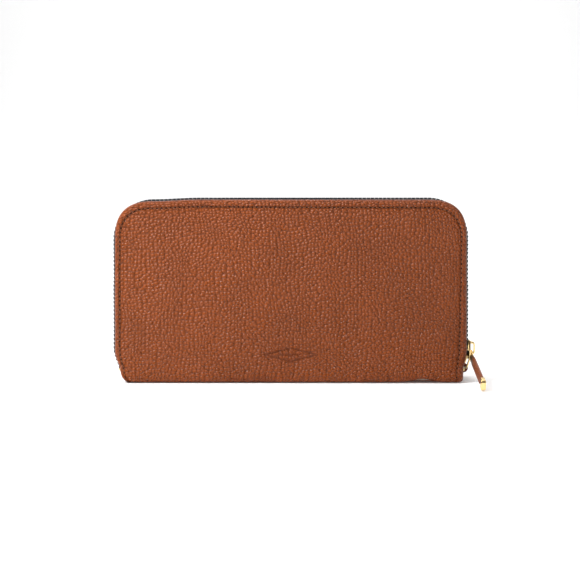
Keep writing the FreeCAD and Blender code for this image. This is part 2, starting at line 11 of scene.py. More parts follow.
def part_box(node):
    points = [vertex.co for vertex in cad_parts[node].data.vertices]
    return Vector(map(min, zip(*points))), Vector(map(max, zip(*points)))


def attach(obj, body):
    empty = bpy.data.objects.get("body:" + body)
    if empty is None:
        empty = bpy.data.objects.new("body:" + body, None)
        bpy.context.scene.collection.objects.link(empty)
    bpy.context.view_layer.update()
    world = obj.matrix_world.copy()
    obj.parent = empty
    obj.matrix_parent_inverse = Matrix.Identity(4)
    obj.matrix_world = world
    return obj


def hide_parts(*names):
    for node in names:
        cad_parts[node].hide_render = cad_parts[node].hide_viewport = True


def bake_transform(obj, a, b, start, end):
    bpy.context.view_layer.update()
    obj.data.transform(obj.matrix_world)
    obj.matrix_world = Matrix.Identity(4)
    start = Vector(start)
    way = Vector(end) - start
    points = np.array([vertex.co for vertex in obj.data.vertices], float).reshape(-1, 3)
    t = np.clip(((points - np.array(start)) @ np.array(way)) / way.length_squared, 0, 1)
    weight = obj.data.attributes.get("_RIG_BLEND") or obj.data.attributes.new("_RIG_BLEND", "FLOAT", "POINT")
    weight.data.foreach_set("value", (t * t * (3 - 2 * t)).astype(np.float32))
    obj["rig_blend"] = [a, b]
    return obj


bl_info = {
    "name": "Zip Around Wallet",
    "version": (1, 0, 0),
    "blender": (4, 5, 0),
    "location": "View3D > Sidebar > Wallet",
    "description": "Builds the leather, zip, metal and lining of a long zip around wallet",
    "category": "Object",
}

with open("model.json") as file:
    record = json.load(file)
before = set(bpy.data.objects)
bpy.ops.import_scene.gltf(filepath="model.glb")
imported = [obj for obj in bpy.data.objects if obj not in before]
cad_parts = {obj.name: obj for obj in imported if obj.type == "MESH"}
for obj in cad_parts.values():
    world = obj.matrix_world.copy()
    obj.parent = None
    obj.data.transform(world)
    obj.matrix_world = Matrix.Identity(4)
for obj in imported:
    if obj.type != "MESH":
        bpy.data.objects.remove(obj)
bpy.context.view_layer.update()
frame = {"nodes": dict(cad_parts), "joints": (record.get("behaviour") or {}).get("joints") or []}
MM = 0.001

# ---- sizes read from the frame, in millimetres ---------------------------------------------------


def cad(node):
    """Lowest and highest corners of a CAD node, in millimetres."""
    low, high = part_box(node)
    return low / MM, high / MM


COVER_LOW, COVER_HIGH = cad("front_cover")
HALF = COVER_HIGH.x
TOP = COVER_HIGH.z
FOLD_Z = COVER_LOW.z
FACE = -COVER_LOW.y
RIM = -COVER_HIGH.y
TEETH_LOW, TEETH_HIGH = cad("front_zip_teeth")
ZIP_PROUD = TEETH_HIGH.x - HALF
CHAIN_HALF = -TEETH_LOW.y
SLIDER_LOW, SLIDER_HIGH = cad("zip_slider")
LINK_LOW, LINK_HIGH = cad("pull_link")
LINK_CENTRE = (LINK_LOW + LINK_HIGH) / 2
LINK_WIRE = (LINK_HIGH.x - LINK_LOW.x) / 2
JOINTS = {joint["name"]: joint for joint in frame["joints"]}
SIDES = (("front", -1), ("back", 1))


class WalletSizes(bpy.types.PropertyGroup):
    corner_left: FloatProperty(
        name="Left Corner", description="Radius of the top corner at the left, in mm", default=19.6, min=5.0)
    corner_right: FloatProperty(
        name="Right Corner", description="Radius of the top corner at the slider's end, in mm", default=19.6, min=5.0)
    edge_round: FloatProperty(
        name="Edge Round", description="Rounding from a cover's face to its rim, in mm", default=2.6, min=0.5)
    leather: FloatProperty(
        name="Leather", description="Thickness of the cover leather, in mm", default=1.1, min=0.4)
    seam_left: FloatProperty(
        name="Left Seam", description="Stitched groove from the left edge, in mm", default=2.9, min=1.5)
    seam_right: FloatProperty(
        name="Right Seam", description="Stitched groove from the right edge at the fold, in mm", default=4.3, min=1.5)
    crown: FloatProperty(
        name="Crown", description="Swell of the padded covers, in mm", default=0.9, min=0.0)
    stitch_pitch: FloatProperty(
        name="Stitch Pitch", description="From one stitch to the next, in mm", default=2.45, min=1.0)
    stitch_length: FloatProperty(
        name="Stitch Length", description="Visible length of one stitch, in mm", default=1.75, min=0.5)
    tooth_pitch: FloatProperty(
        name="Tooth Pitch", description="From one zip tooth to the next on one row, in mm", default=2.25, min=0.8)
    grain_size: FloatProperty(
        name="Grain Size", description="Width of one pebble of the leather grain, in mm", default=1.95, min=0.3)


class WalletColours(bpy.types.PropertyGroup):
    leather: FloatVectorProperty(
        name="Leather", description="Cover leather", subtype="COLOR", size=3, default=(0.222, 0.0475, 0.0074))
    # Painted shade: this darker colour is laid into the creases between the pebbles, where shade falls.
    leather_crease_shade: FloatVectorProperty(
        name="Crease", description="Leather between the pebbles", subtype="COLOR", size=3,
        default=(0.100, 0.022, 0.006))
    thread: FloatVectorProperty(
        name="Thread", description="Stitching", subtype="COLOR", size=3, default=(0.265, 0.090, 0.036))
    tape: FloatVectorProperty(
        name="Zip Tape", description="Woven zip tape", subtype="COLOR", size=3, default=(0.013, 0.013, 0.016))
    teeth: FloatVectorProperty(
        name="Zip Teeth", description="Moulded zip teeth", subtype="COLOR", size=3, default=(0.016, 0.018, 0.025))
    gold: FloatVectorProperty(
        name="Gold", description="Polished hardware", subtype="COLOR", size=3, default=(0.83, 0.60, 0.27))
    lining: FloatVectorProperty(
        name="Lining", description="Woven lining", subtype="COLOR", size=3, default=(0.050, 0.033, 0.024))


# ---- mesh helpers ---------------------------------------------------------------------------------


def new_object(name, data):
    """Object at the origin, unturned and unscaled."""
    obj = bpy.data.objects.new(name, data)
    bpy.context.collection.objects.link(obj)
    return obj


def mesh_object(name, points, faces, material, smooth=True):
    """Object at the origin from points in millimetres."""
    mesh = bpy.data.meshes.new(name)
    mesh.from_pydata([tuple(c * MM for c in p) for p in points], [], faces)
    mesh.materials.append(material)
    obj = new_object(name, mesh)
    if smooth:
        mesh.shade_smooth()
    return obj


def bake_modifiers(obj):
    """Replaces the object's mesh by what its modifiers make of it."""
    graph = bpy.context.evaluated_depsgraph_get()
    made = bpy.data.meshes.new_from_object(obj.evaluated_get(graph))
    obj.modifiers.clear()
    old = obj.data
    obj.data = made
    made.name = obj.name
    if isinstance(old, bpy.types.Mesh):
        bpy.data.meshes.remove(old)
    return obj


def thicken(obj, millimetres, offset=-1.0):
    solid = obj.modifiers.new("Thickness", "SOLIDIFY")
    solid.thickness = millimetres * MM
    solid.offset = offset
    return bake_modifiers(obj)


def soften(obj, width, segments=2, angle=30.0):
    bevel = obj.modifiers.new("Edges", "BEVEL")
    bevel.width = width * MM
    bevel.segments = segments
    bevel.limit_method = "ANGLE"
    bevel.angle_limit = math.radians(angle)
    bevel.use_clamp_overlap = True
    bake_modifiers(obj)
    obj.data.shade_smooth()
    obj.data.set_sharp_from_angle(angle=math.radians(40))
    return obj


def turn_outwards(obj):
    work = bmesh.new()
    work.from_mesh(obj.data)
    bmesh.ops.remove_doubles(work, verts=work.verts, dist=1e-7)
    bmesh.ops.recalc_face_normals(work, faces=work.faces)
    work.to_mesh(obj.data)
    work.free()
    return obj


def prism(name, outline, push, material, edge=0.0, segments=2):
    """Solid from a closed outline of points, pushed along a vector; edge rounds it."""
    count = len(outline)
    far = [tuple(Vector(p) + Vector(push)) for p in outline]
    faces = [list(range(count)), list(range(2 * count - 1, count - 1, -1))]
    faces += [[i, i + count, (i + 1) % count + count, (i + 1) % count] for i in range(count)]
    obj = mesh_object(name, list(outline) + far, faces, material, smooth=False)
    turn_outwards(obj)
    if edge > 0:
        soften(obj, edge, segments)
    return obj


def plate(name, outline, low, high, material, edge):
    """Upright plate: an outline of (x, z) from one depth to the other of a CAD piece's box."""
    return prism(name, [(x, low.y, z) for x, z in outline], (0, high.y - low.y, 0), material, edge)


def grid_faces(rows, columns, flip=False, wrap=False):
    faces = []
    last = columns if wrap else columns - 1
    for r in range(rows - 1):
        for c in range(last):
            a = r * columns + c
            b = r * columns + (c + 1) % columns
            quad = [a, b, b + columns, a + columns]
            faces.append(quad[::-1] if flip else quad)
    return faces


def arc(centre, radius, start, end, steps):
    """Points on an arc in a plane, angles in degrees."""
    points = []
    for i in range(steps + 1):
        turn = math.radians(start + (end - start) * i / steps)
        points.append((centre[0] + radius * math.cos(turn), centre[1] + radius * math.sin(turn)))
    return points


def round_box_outline(x0, x1, z0, z1, radii, steps=6):
    """Outline of an upright sheet as (x, z); radii are for low left, low right, top right, top left."""
    corners = [(x0, z0, 180), (x1, z0, 270), (x1, z1, 0), (x0, z1, 90)]
    points = []
    for (x, z, start), radius in zip(corners, radii):
        sx = 1 if x == x0 else -1
        sz = 1 if z == z0 else -1
        if radius <= 0:
            points.append((x, z))
        else:
            points += arc((x + sx * radius, z + sz * radius), radius, start, start + 90, steps)
    return points


# ---- the wallet's outline -------------------------------------------------------------------------

SIDE_STEPS = 44
CORNER_STEPS = 24
TOP_STEPS = 78
TOP_BOW = 0.9               # the top edge falls by this much towards the left corner
BOW_START = 50.0


def smooth(share):
    """Soft step from 0 to 1."""
    share = min(1.0, max(0.0, share))
    return share * share * (3 - 2 * share)


def outline_path(sizes, z_start, z_end):
    """Stations over the top from the left fold to the right: (x, z, outward x, outward z)."""
    left = sizes.corner_left
    right = sizes.corner_right
    left_top = TOP - TOP_BOW
    left_x = left - HALF
    right_x = HALF - right
    path = []
    for i in range(SIDE_STEPS):
        path.append((-HALF, z_start + (left_top - left - z_start) * i / SIDE_STEPS, -1.0, 0.0))
    for i in range(CORNER_STEPS):
        turn = math.pi - math.pi / 2 * i / CORNER_STEPS
        path.append((left_x + left * math.cos(turn), left_top - left + left * math.sin(turn),
                     math.cos(turn), math.sin(turn)))
    for i in range(TOP_STEPS):
        x = left_x + (right_x - left_x) * i / TOP_STEPS
        fall = TOP_BOW * smooth((-x - BOW_START) / (-left_x - BOW_START))
        path.append((x, TOP - fall, 0.0, 1.0))
    for i in range(CORNER_STEPS):
        turn = math.pi / 2 - math.pi / 2 * i / CORNER_STEPS
        path.append((right_x + right * math.cos(turn), TOP - right + right * math.sin(turn),
                     math.cos(turn), math.sin(turn)))
    for i in range(SIDE_STEPS + 1):
        path.append((HALF, TOP - right + (z_end - TOP + right) * i / SIDE_STEPS, 1.0, 0.0))
    return path


TUCK_HEIGHT = 17.0          # the ends draw in below this height
TUCK_LEFT = 2.9
TUCK_RIGHT = 1.9
TUCK_REACH = 14.0           # inset at which the draw has faded out
LOW_CORNER_LEFT = 6.6       # radius of the corners at the fold
LOW_CORNER_RIGHT = 2.4
LOW_CORNER_REACH = 26.0


def tucked(x, z):
    """X after the lower ends draw in towards the spine and their corners round off."""
    draw = TUCK_LEFT if x < 0 else TUCK_RIGHT
    radius = LOW_CORNER_LEFT if x < 0 else LOW_CORNER_RIGHT
    inset = HALF - abs(x)
    fade = min(1.0, max(0.0, 1 - inset / LOW_CORNER_REACH))
    pull = draw * smooth((TUCK_HEIGHT - z) / (TUCK_HEIGHT - 6.0)) * (1 - smooth(inset / TUCK_REACH) * 0.8)
    if z < radius:
        rest = radius - max(z, 0.0)
        pull += radius - math.sqrt(max(0.0, radius * radius - rest * rest))
    pull *= fade
    return x - math.copysign(pull, x)


WAVE_X = 71.5               # one shallow wave in the front fold, near the slider's end
WAVE_WIDTH = 7.5
WAVE_RISE = 1.9


def fold_lift(x, y):
    """How far the front fold stands off the surface."""
    if y > 0:
        return 0.0
    return WAVE_RISE * math.exp(-((x - WAVE_X) / WAVE_WIDTH) ** 2) * smooth((-y - 6.0) / 4.0)


def edge_distance(sizes, x, z):
    """How far a point of a cover lies inside its left, top and right edges."""
    radius = sizes.corner_left if x < 0 else sizes.corner_right
    dx = abs(x) - (HALF - radius)
    dz = z - (TOP - radius)
    if dx > 0 and dz > 0:
        return radius - math.hypot(dx, dz)
    return min(HALF - abs(x), TOP - z)


SEAM_TOP_LEFT = 3.2         # seam below the top edge, near each corner
SEAM_TOP_RIGHT = 4.0
SEAM_CORNER_RIGHT = 2.9     # seam from the right edge, just under the corner


def seam_inset(sizes, x, z, nx):
    """How far inside the edge the seam runs: wider towards the right and down the right side."""
    along = min(1.0, max(0.0, (x + HALF) / (2 * HALF)))
    top = SEAM_TOP_LEFT + (SEAM_TOP_RIGHT - SEAM_TOP_LEFT) * along
    side = sizes.seam_left
    if x > 0:
        down = smooth(1 - z / (TOP - sizes.corner_right))
        side = SEAM_CORNER_RIGHT + (sizes.seam_right - SEAM_CORNER_RIGHT) * down
    return top + (side - top) * nx * nx


TOP_GROW = 1.0              # the leather's rim stands nearer to the teeth along the top
CORNER_GROW = 1.5           # and hides them round the corners
SEAM_INSET = 3.85           # seam of the rim profile, before it is fitted to the place
SEAM_FLOOR = 0.75           # depth of the groove below the face
INNER_INSET = 9.0


def rim_grow(nx, nz, inset):
    """How far the rim flares out past the outline."""
    flare = TOP_GROW * nz * nz + CORNER_GROW * 4 * nx * nx * nz * nz
    return flare * max(0.0, 1 - inset / INNER_INSET)


def fitted_inset(sizes, x, z, nx, inset):
    """Inset of the rim profile, stretched so that its groove falls on the seam."""
    seam = seam_inset(sizes, x, z, nx)
    if inset <= SEAM_INSET:
        return inset * seam / SEAM_INSET
    share = min(1.0, (inset - SEAM_INSET) / (INNER_INSET - SEAM_INSET))
    return inset + (seam - SEAM_INSET) * (1 - share)


def rim_profile(round_radius):
    """(inset, distance from the middle plane) from the rim's free edge to the flat face."""
    lip = [(1.30, RIM + 0.55), (1.22, RIM + 0.15), (0.95, RIM - 0.08), (0.55, RIM - 0.10),
           (0.22, RIM + 0.05), (0.04, RIM + 0.35), (0.0, RIM + 1.0)]
    centre = (round_radius, FACE - round_radius)
    bend = arc(centre, round_radius, 180, 96, 8)
    seam = [(SEAM_INSET - 0.72, FACE + 0.04), (SEAM_INSET - 0.50, FACE - 0.05), (SEAM_INSET - 0.34, FACE - 0.30),
            (SEAM_INSET - 0.18, FACE - 0.64), (SEAM_INSET + 0.02, FACE - SEAM_FLOOR),
            (SEAM_INSET + 0.22, FACE - 0.66), (SEAM_INSET + 0.42, FACE - 0.38), (SEAM_INSET + 0.70, FACE - 0.16),
            (SEAM_INSET + 1.15, FACE - 0.05), (SEAM_INSET + 2.0, FACE + 0.02), (SEAM_INSET + 3.2, FACE + 0.10)]
    return lip + bend + seam


def swell(sizes, x, z):
    """Height of the padded face over the CAD face."""
    inside = max(0.0, edge_distance(sizes, x, z) - 5.0)
    above = max(0.0, z - FOLD_Z)
    return sizes.crown * (1 - math.exp(-inside / 13.0)) * (1 - math.exp(-above / 9.0))


def ripple(x, z, seed):
    """Slow unevenness of leather over padding."""
    slow = noise.noise(Vector((x / 34.0, z / 30.0, seed)))
    quick = noise.noise(Vector((x / 13.0, z / 13.0, seed + 7.0)))
    return 0.20 * slow + 0.07 * quick


MARK_CENTRE = (0.0, 15.6)
MARK_HALF = (14.0, 3.6)
MARK_LINE = 0.70
MARK_DEPTH = 0.45


def mark_depth(x, z):
    """Pressed lozenge outline with a bar inside it, 0 outside and 1 at its floor."""
    u = abs(x - MARK_CENTRE[0]) / MARK_HALF[0]
    v = abs(z - MARK_CENTRE[1]) / MARK_HALF[1]
    slope = math.hypot(1 / MARK_HALF[0], 1 / MARK_HALF[1])
    from_line = abs((u + v - 1) / slope)
    outline = max(0.0, 1 - from_line / MARK_LINE)
    bar = max(0.0, 1 - max(abs(z - MARK_CENTRE[1]) / 0.55, (abs(x - MARK_CENTRE[0]) - 5.2) / 0.5))
    return min(1.0, 1.6 * max(outline, bar))


FAN_STEPS = 40              # rows from the rim's inner edge to the fold
FIRST_FOLD_RING = 6         # the rim's lip, before this ring, does not turn under at the fold
WALL = 6                    # steps from the middle plane to the first ring, at each end
BEND_STEPS = 6
BEND = 5.0                  # how far the spine's long edges draw in where they meet the surface


def cover_wrap(name, side, sizes, material):
    """Leather of one cover: rim, seam groove, padded face, and its half of the spine."""
    path = outline_path(sizes, FOLD_Z, FOLD_Z)
    raw = []
    rings = []
    seed = 3.0 if side < 0 else 11.0

    def place(x, z, depth):
        raw.append((x, side * depth, z))
        return len(raw) - 1

    for inset, depth in rim_profile(sizes.edge_round):
        ring = []
        for x, z, nx, nz in path:
            step = fitted_inset(sizes, x, z, nx, inset) - rim_grow(nx, nz, inset)
            px = x - nx * step
            pz = z - nz * step
            rise = swell(sizes, px, pz) + ripple(px, pz, seed) * min(1.0, max(0.0, inset - 4.5) / 4.0)
            ring.append(place(px, pz, depth + rise))
        rings.append(ring)

    start = [(x - nx * INNER_INSET, z - nz * INNER_INSET) for x, z, nx, nz in path]
    spread = HALF - 30.0
    for k in range(FAN_STEPS + 1):
        share = k / FAN_STEPS
        ring = []
        for i, (x, z) in enumerate(start):
            goal_x = spread * (2 * i / (len(path) - 1) - 1)
            px = x + (goal_x - x) * share
            pz = z + (FOLD_Z - z) * share
            depth = FACE + 0.10 + swell(sizes, px, pz) + ripple(px, pz, seed) * min(1.0, (pz - FOLD_Z) / 6.0)
            ring.append(place(px, pz, depth - 0.10 * share))
        rings.append(ring)

    faces = []
    for low, high in zip(rings[:-1], rings[1:]):
        for i in range(len(path) - 1):
            faces.append([low[i], low[i + 1], high[i + 1], high[i]])

    chain = [ring[0] for ring in rings[FIRST_FOLD_RING:]] + rings[-1][1:]
    chain += [ring[-1] for ring in reversed(rings[FIRST_FOLD_RING:-1])]
    ends = (raw[chain[0]], raw[chain[-1]])
    lead = [place(ends[0][0], FOLD_Z, abs(ends[0][1]) * i / WALL) for i in range(WALL)]
    tail = [place(ends[1][0], FOLD_Z, abs(ends[1][1]) * (1 - (i + 1) / WALL)) for i in range(WALL)]
    chain = lead + chain + tail
    base = [raw[i] for i in chain]
    rows = [chain]
    for step in range(1, BEND_STEPS + 1):
        turn = math.pi / 2 * step / BEND_STEPS
        z = FOLD_Z * (1 - math.sin(turn))
        row = []
        for i, (x, y, _) in enumerate(base):
            corner = base[min(max(i, WALL), len(base) - 1 - WALL)] if abs(y) > 0 else base[WALL]
            reach = abs(corner[1])
            over = min(1.0, max(0.0, reach - (FACE - BEND)) / BEND)
            row.append(place(x, z, abs(y) * (1 - BEND * (1 - math.cos(turn)) * over / reach)))
        rows.append(row)
    for low, high in zip(rows[:-1], rows[1:]):
        for i in range(len(chain) - 1):
            faces.append([low[i], high[i], high[i + 1], low[i + 1]])
    low = rows[-1][WALL:len(chain) - WALL]
    under = [raw[i] for i in low]
    for step in range(1, WALL + 1):
        high = [place(x, 0.0, abs(y) * (1 - step / WALL)) for x, y, _ in under]
        for i in range(len(low) - 1):
            faces.append([low[i], high[i], high[i + 1], low[i + 1]])
        low = high
    points = []
    for x, y, z in raw:
        lift = fold_lift(x, y) * max(0.0, 1 - z / 7.0)
        points.append((tucked(x, z), y, z + lift))
    obj = mesh_object(name, points, faces, material)
    # The groove attribute paints shade into the seam groove: the deeper a ring lies, the darker its colour.
    groove = obj.data.attributes.new("groove", "FLOAT", "POINT")
    profile = rim_profile(sizes.edge_round)
    for ring, (inset, depth) in zip(rings, profile):
        sunk = max(0.0, FACE - depth - 0.12) / (SEAM_FLOOR - 0.12) if inset > SEAM_INSET - 0.6 else 0.0
        for index in ring:
            groove.data[index].value = sunk

    work = bmesh.new()
    work.from_mesh(obj.data)
    bmesh.ops.remove_doubles(work, verts=work.verts, dist=0.02 * MM)
    bmesh.ops.dissolve_degenerate(work, edges=work.edges, dist=0.01 * MM)
    if side < 0:
        press_mark(work)
    bmesh.ops.recalc_face_normals(work, faces=work.faces)
    face = max(work.faces, key=lambda f: f.calc_center_median().y * side)
    if face.normal.y * side < 0:
        bmesh.ops.reverse_faces(work, faces=work.faces)
    work.to_mesh(obj.data)
    work.free()
    obj.data.shade_smooth()
    return thicken(obj, sizes.leather)


def press_mark(work):
    """Presses the lozenge into the front face, on a finer patch of mesh."""
    reach = (MARK_HALF[0] + 2.0, MARK_HALF[1] + 2.0)

    def inside(p):
        return abs(p.x) < reach[0] and abs(p.z - MARK_CENTRE[1]) < reach[1] and p.y < 1 - FACE

    groove = work.verts.layers.float["groove"]
    near = [e for e in work.edges if inside((e.verts[0].co + e.verts[1].co) / 2 / MM)]
    bmesh.ops.subdivide_edges(work, edges=near, cuts=5, use_grid_fill=True)
    for vertex in work.verts:
        p = vertex.co / MM
        if inside(p):
            press = mark_depth(p.x, p.z)
            vertex.co.y += MARK_DEPTH * MM * press
            # The pressed lines also darken through the groove attribute: pressed leather's own darker tone together
            # with painted shade.
            vertex[groove] = max(vertex[groove], 0.5 * press)


# ---- geometry nodes -------------------------------------------------------------------------------


def repeat_tree():
    """Node tree that sets a piece along a curve lying in an XZ plane, a fixed pitch apart."""
    name = "Repeat Along Path"
    if name in bpy.data.node_groups:
        return bpy.data.node_groups[name]
    kinds = (("Geometry", "Geometry"), ("Piece", "Object"), ("Pitch", "Float"), ("Size Spread", "Float"),
             ("Material", "Material"))
    inputs = [(label, "NodeSocket" + kind, None) for label, kind in kinds]
    tree, source, result = group_tree(name, inputs, [("Geometry", "NodeSocketGeometry")], "GeometryNodeTree")
    given = source.outputs
    resample = add(tree, "GeometryNodeResampleCurve", {"mode": "LENGTH"}, Curve=given["Geometry"],
                   Length=given["Pitch"])
    tangent = add(tree, "GeometryNodeInputTangent").outputs[0]
    outward = add(tree, "ShaderNodeVectorMath", {"operation": "CROSS_PRODUCT"}, i0=tangent, i1=(0.0, 1.0, 0.0))
    along = add(tree, "FunctionNodeAlignRotationToVector", {"axis": "X"}, Vector=tangent)
    upright = add(tree, "FunctionNodeAlignRotationToVector", {"axis": "Z", "pivot_axis": "X"},
                  Rotation=along.outputs[0], Vector=outward.outputs[0])
    smallest = add(tree, "ShaderNodeMath", {"operation": "SUBTRACT"}, i0=1.0, i1=given["Size Spread"])
    random = add(tree, "FunctionNodeRandomValue", {"data_type": "FLOAT"}, i2=smallest.outputs[0], i3=1.0, Seed=5)
    piece = add(tree, "GeometryNodeObjectInfo", None, Object=given["Piece"])
    place = add(tree, "GeometryNodeInstanceOnPoints", None, Points=resample.outputs["Curve"],
                Instance=piece.outputs["Geometry"], Rotation=upright.outputs[0], Scale=random.outputs[1])
    real = add(tree, "GeometryNodeRealizeInstances", None, i0=place.outputs[0])
    paint = add(tree, "GeometryNodeSetMaterial", None, Geometry=real.outputs[0], Material=given["Material"])
    fill(tree, result, Geometry=paint.outputs[0])
    return tree


def curve_object(name, points):
    curve = bpy.data.curves.new(name, "CURVE")
    curve.dimensions = "3D"
    spline = curve.splines.new("POLY")
    spline.points.add(len(points) - 1)
    for target, p in zip(spline.points, points):
        target.co = (p[0] * MM, p[1] * MM, p[2] * MM, 1.0)
    return new_object(name, curve)


def repeat_along(name, paths, piece, pitch, material, spread=0.0):
    """One mesh of a small piece set along each path of points, in millimetres; removes the piece."""
    tree = repeat_tree()
    keys = {item.name: item.identifier for item in tree.interface.items_tree if item.in_out == "INPUT"}
    parts = []
    for i, points in enumerate(paths):
        curve = curve_object("%s_path_%d" % (name, i), points)
        modifier = curve.modifiers.new("Repeat", "NODES")
        modifier.node_group = tree
        modifier[keys["Piece"]] = piece
        modifier[keys["Pitch"]] = pitch * MM
        modifier[keys["Size Spread"]] = spread
        modifier[keys["Material"]] = material
        graph = bpy.context.evaluated_depsgraph_get()
        made = bpy.data.meshes.new_from_object(curve.evaluated_get(graph))
        bpy.data.objects.remove(curve)
        parts.append(made)
    work = bmesh.new()
    for made in parts:
        work.from_mesh(made)
        bpy.data.meshes.remove(made)
    mesh = bpy.data.meshes.new(name)
    work.to_mesh(mesh)
    work.free()
    mesh.materials.clear()
    mesh.materials.append(material)
    mesh.shade_smooth()
    obj = new_object(name, mesh)
    bpy.data.objects.remove(piece)
    return obj


def stitch_piece(length, thick, material):
    """One stitch: a short fat thread lying along X, thinner at its ends."""
    rings = []
    sides = 6
    stations = ((-0.5, 0.35), (-0.42, 0.8), (-0.2, 1.0), (0.2, 1.0), (0.42, 0.8), (0.5, 0.35))
    for along, girth in stations:
        for i in range(sides):
            turn = 2 * math.pi * i / sides
            rings.append((along * length, thick * 0.5 * girth * math.cos(turn), thick * 0.5 * girth * math.sin(turn)))
    faces = grid_faces(len(stations), sides, wrap=True)
    faces.append(list(range(sides)))
    faces.append(list(range(len(rings) - 1, len(rings) - 1 - sides, -1)))
    return turn_outwards(mesh_object("stitch_piece", rings, faces, material))


def hole_piece(shift, side):
    """Mouth of one needle hole, a shallow cup facing outwards, coloured near-black as painted shade inside the hole.
    """
    rings = []
    sides = 8
    for girth, depth in ((0.55, 0.12), (0.42, 0.14), (0.20, -0.12)):
        for i in range(sides):
            turn = 2 * math.pi * i / sides
            rings.append((shift + girth * math.cos(turn), side * depth, 0.8 * girth * math.sin(turn)))
    faces = grid_faces(3, sides, wrap=True)
    faces.append(list(range(2 * sides, 3 * sides)))
    faces.append(list(range(sides)))
    return turn_outwards(mesh_object("hole_piece", rings, faces, finish_of("hole")))


def tooth_piece(side, shift, material):
    """One moulded tooth: root at the tape's edge, waist, and a round head past the middle."""
    root = CHAIN_HALF
    outline = [(-0.62, -root), (0.62, -root), (0.62, -1.25), (0.40, -0.65), (0.56, 0.05), (0.36, 0.55),
               (-0.36, 0.55), (-0.56, 0.05), (-0.40, -0.65), (-0.62, -1.25)]
    half = (TEETH_HIGH.x - HALF + 0.3) / 2
    ring = [(x + shift, -side * y, -half) for x, y in outline]
    return prism("tooth_piece", ring, (0, 0, 2 * half), material, edge=0.16, segments=1)


# ---- shader helpers -------------------------------------------------------------------------------


def fill(tree, node, **inputs):
    """Links or sets a node's inputs; they are named with underscores for spaces, or i0, i1 ... by place."""
    for key, value in inputs.items():
        by_place = key[0] == "i" and key[1:].isdigit()
        socket = node.inputs[int(key[1:])] if by_place else node.inputs[key.replace("_", " ")]
        if isinstance(value, bpy.types.NodeSocket):
            tree.links.new(value, socket)
        else:
            socket.default_value = value
    return node


def add(tree, kind, settings=None, **inputs):
    """New node with its settings and inputs."""
    made = tree.nodes.new(kind)
    for key, value in (settings or {}).items():
        setattr(made, key, value)
    return fill(tree, made, **inputs)


def group_tree(name, inputs, outputs, kind="ShaderNodeTree"):
    """Empty node group with its sockets, and its two end nodes."""
    tree = bpy.data.node_groups.new(name, kind)
    for label, socket_kind, value in inputs:
        socket = tree.interface.new_socket(name=label, in_out="INPUT", socket_type=socket_kind)
        if value is not None:
            socket.default_value = value
    for label, socket_kind in outputs:
        tree.interface.new_socket(name=label, in_out="OUTPUT", socket_type=socket_kind)
    return tree, tree.nodes.new("NodeGroupInput"), tree.nodes.new("NodeGroupOutput")


FLOAT = "NodeSocketFloat"
VECTOR = "NodeSocketVector"


def math_node(tree, operation, a, b=0.0, clamp=False):
    made = add(tree, "ShaderNodeMath", {"operation": operation, "use_clamp": clamp}, i0=a, i1=b)
    return made.outputs[0]


def plus(tree, a, b):
    return math_node(tree, "ADD", a, b)


def times(tree, a, b, clamp=False):
    return math_node(tree, "MULTIPLY", a, b, clamp)


def humps(tree, value):
    """Row of rounded humps, one for each half turn of the value."""
    return math_node(tree, "ABSOLUTE", math_node(tree, "SINE", value))


def noise_node(tree, vector, scale, detail, **inputs):
    return add(tree, "ShaderNodeTexNoise", None, Vector=vector, Scale=scale, Detail=detail, **inputs).outputs


def remap(tree, value, low, high):
    """Soft step from 0 at low to 1 at high."""
    made = add(tree, "ShaderNodeMapRange", {"interpolation_type": "SMOOTHSTEP"},
               Value=value, From_Min=low, From_Max=high)
    return made.outputs["Result"]


def grain_group():
    """Pebbled leather grain: rounded cells of uneven size with soft creases between them."""
    name = "Pebbled Grain"
    if name in bpy.data.node_groups:
        return bpy.data.node_groups[name]
    inputs = [("Vector", VECTOR, None), ("Cells", FLOAT, 800.0), ("Crease", FLOAT, 0.2), ("Lean", FLOAT, 1.0)]
    outputs = [("Height", FLOAT), ("Crease Mask", FLOAT), ("Mottle", FLOAT), ("Pebble Tone", FLOAT)]
    tree, source, result = group_tree(name, inputs, outputs)
    vector = source.outputs["Vector"]
    warp = noise_node(tree, vector, 38.0, 1.0)["Color"]
    push = add(tree, "ShaderNodeVectorMath", {"operation": "SUBTRACT"}, i0=warp, i1=(0.5, 0.5, 0.5))
    push = add(tree, "ShaderNodeVectorMath", {"operation": "SCALE"}, i0=push.outputs[0], Scale=0.0046)
    place = add(tree, "ShaderNodeVectorMath", {"operation": "ADD"}, i0=vector, i1=push.outputs[0])
    split = add(tree, "ShaderNodeSeparateXYZ", None, Vector=place.outputs[0]).outputs
    across = plus(tree, split[0], split[1])
    lean = times(tree, split[1], source.outputs["Lean"])
    up = times(tree, plus(tree, split[2], lean), 1.10)
    flat = add(tree, "ShaderNodeCombineXYZ", None, X=across, Y=up)
    cells, tone = [
        add(tree, "ShaderNodeTexVoronoi", {"feature": feature, "voronoi_dimensions": "2D"},
            Vector=flat.outputs[0], Scale=source.outputs["Cells"], Randomness=0.66).outputs
        for feature in ("DISTANCE_TO_EDGE", "F1")]
    dome = remap(tree, cells["Distance"], 0.0, source.outputs["Crease"])
    pillow = math_node(tree, "POWER", times(tree, cells["Distance"], 2.3, clamp=True), 0.6)
    crown = math_node(tree, "POWER", tone["Distance"], 2.0)
    height = math_node(tree, "SUBTRACT", times(tree, pillow, 0.30), times(tree, crown, 2.6))
    height = plus(tree, height, times(tree, noise_node(tree, vector, 4200.0, 3.0)[0], 0.08))
    pebble = add(tree, "ShaderNodeSeparateColor", None, Color=tone["Color"]).outputs[0]
    fill(tree, result, Height=height, Crease_Mask=math_node(tree, "SUBTRACT", 1.0, dome),
         Mottle=noise_node(tree, vector, 42.0, 3.0)[0], Pebble_Tone=pebble)
    return tree


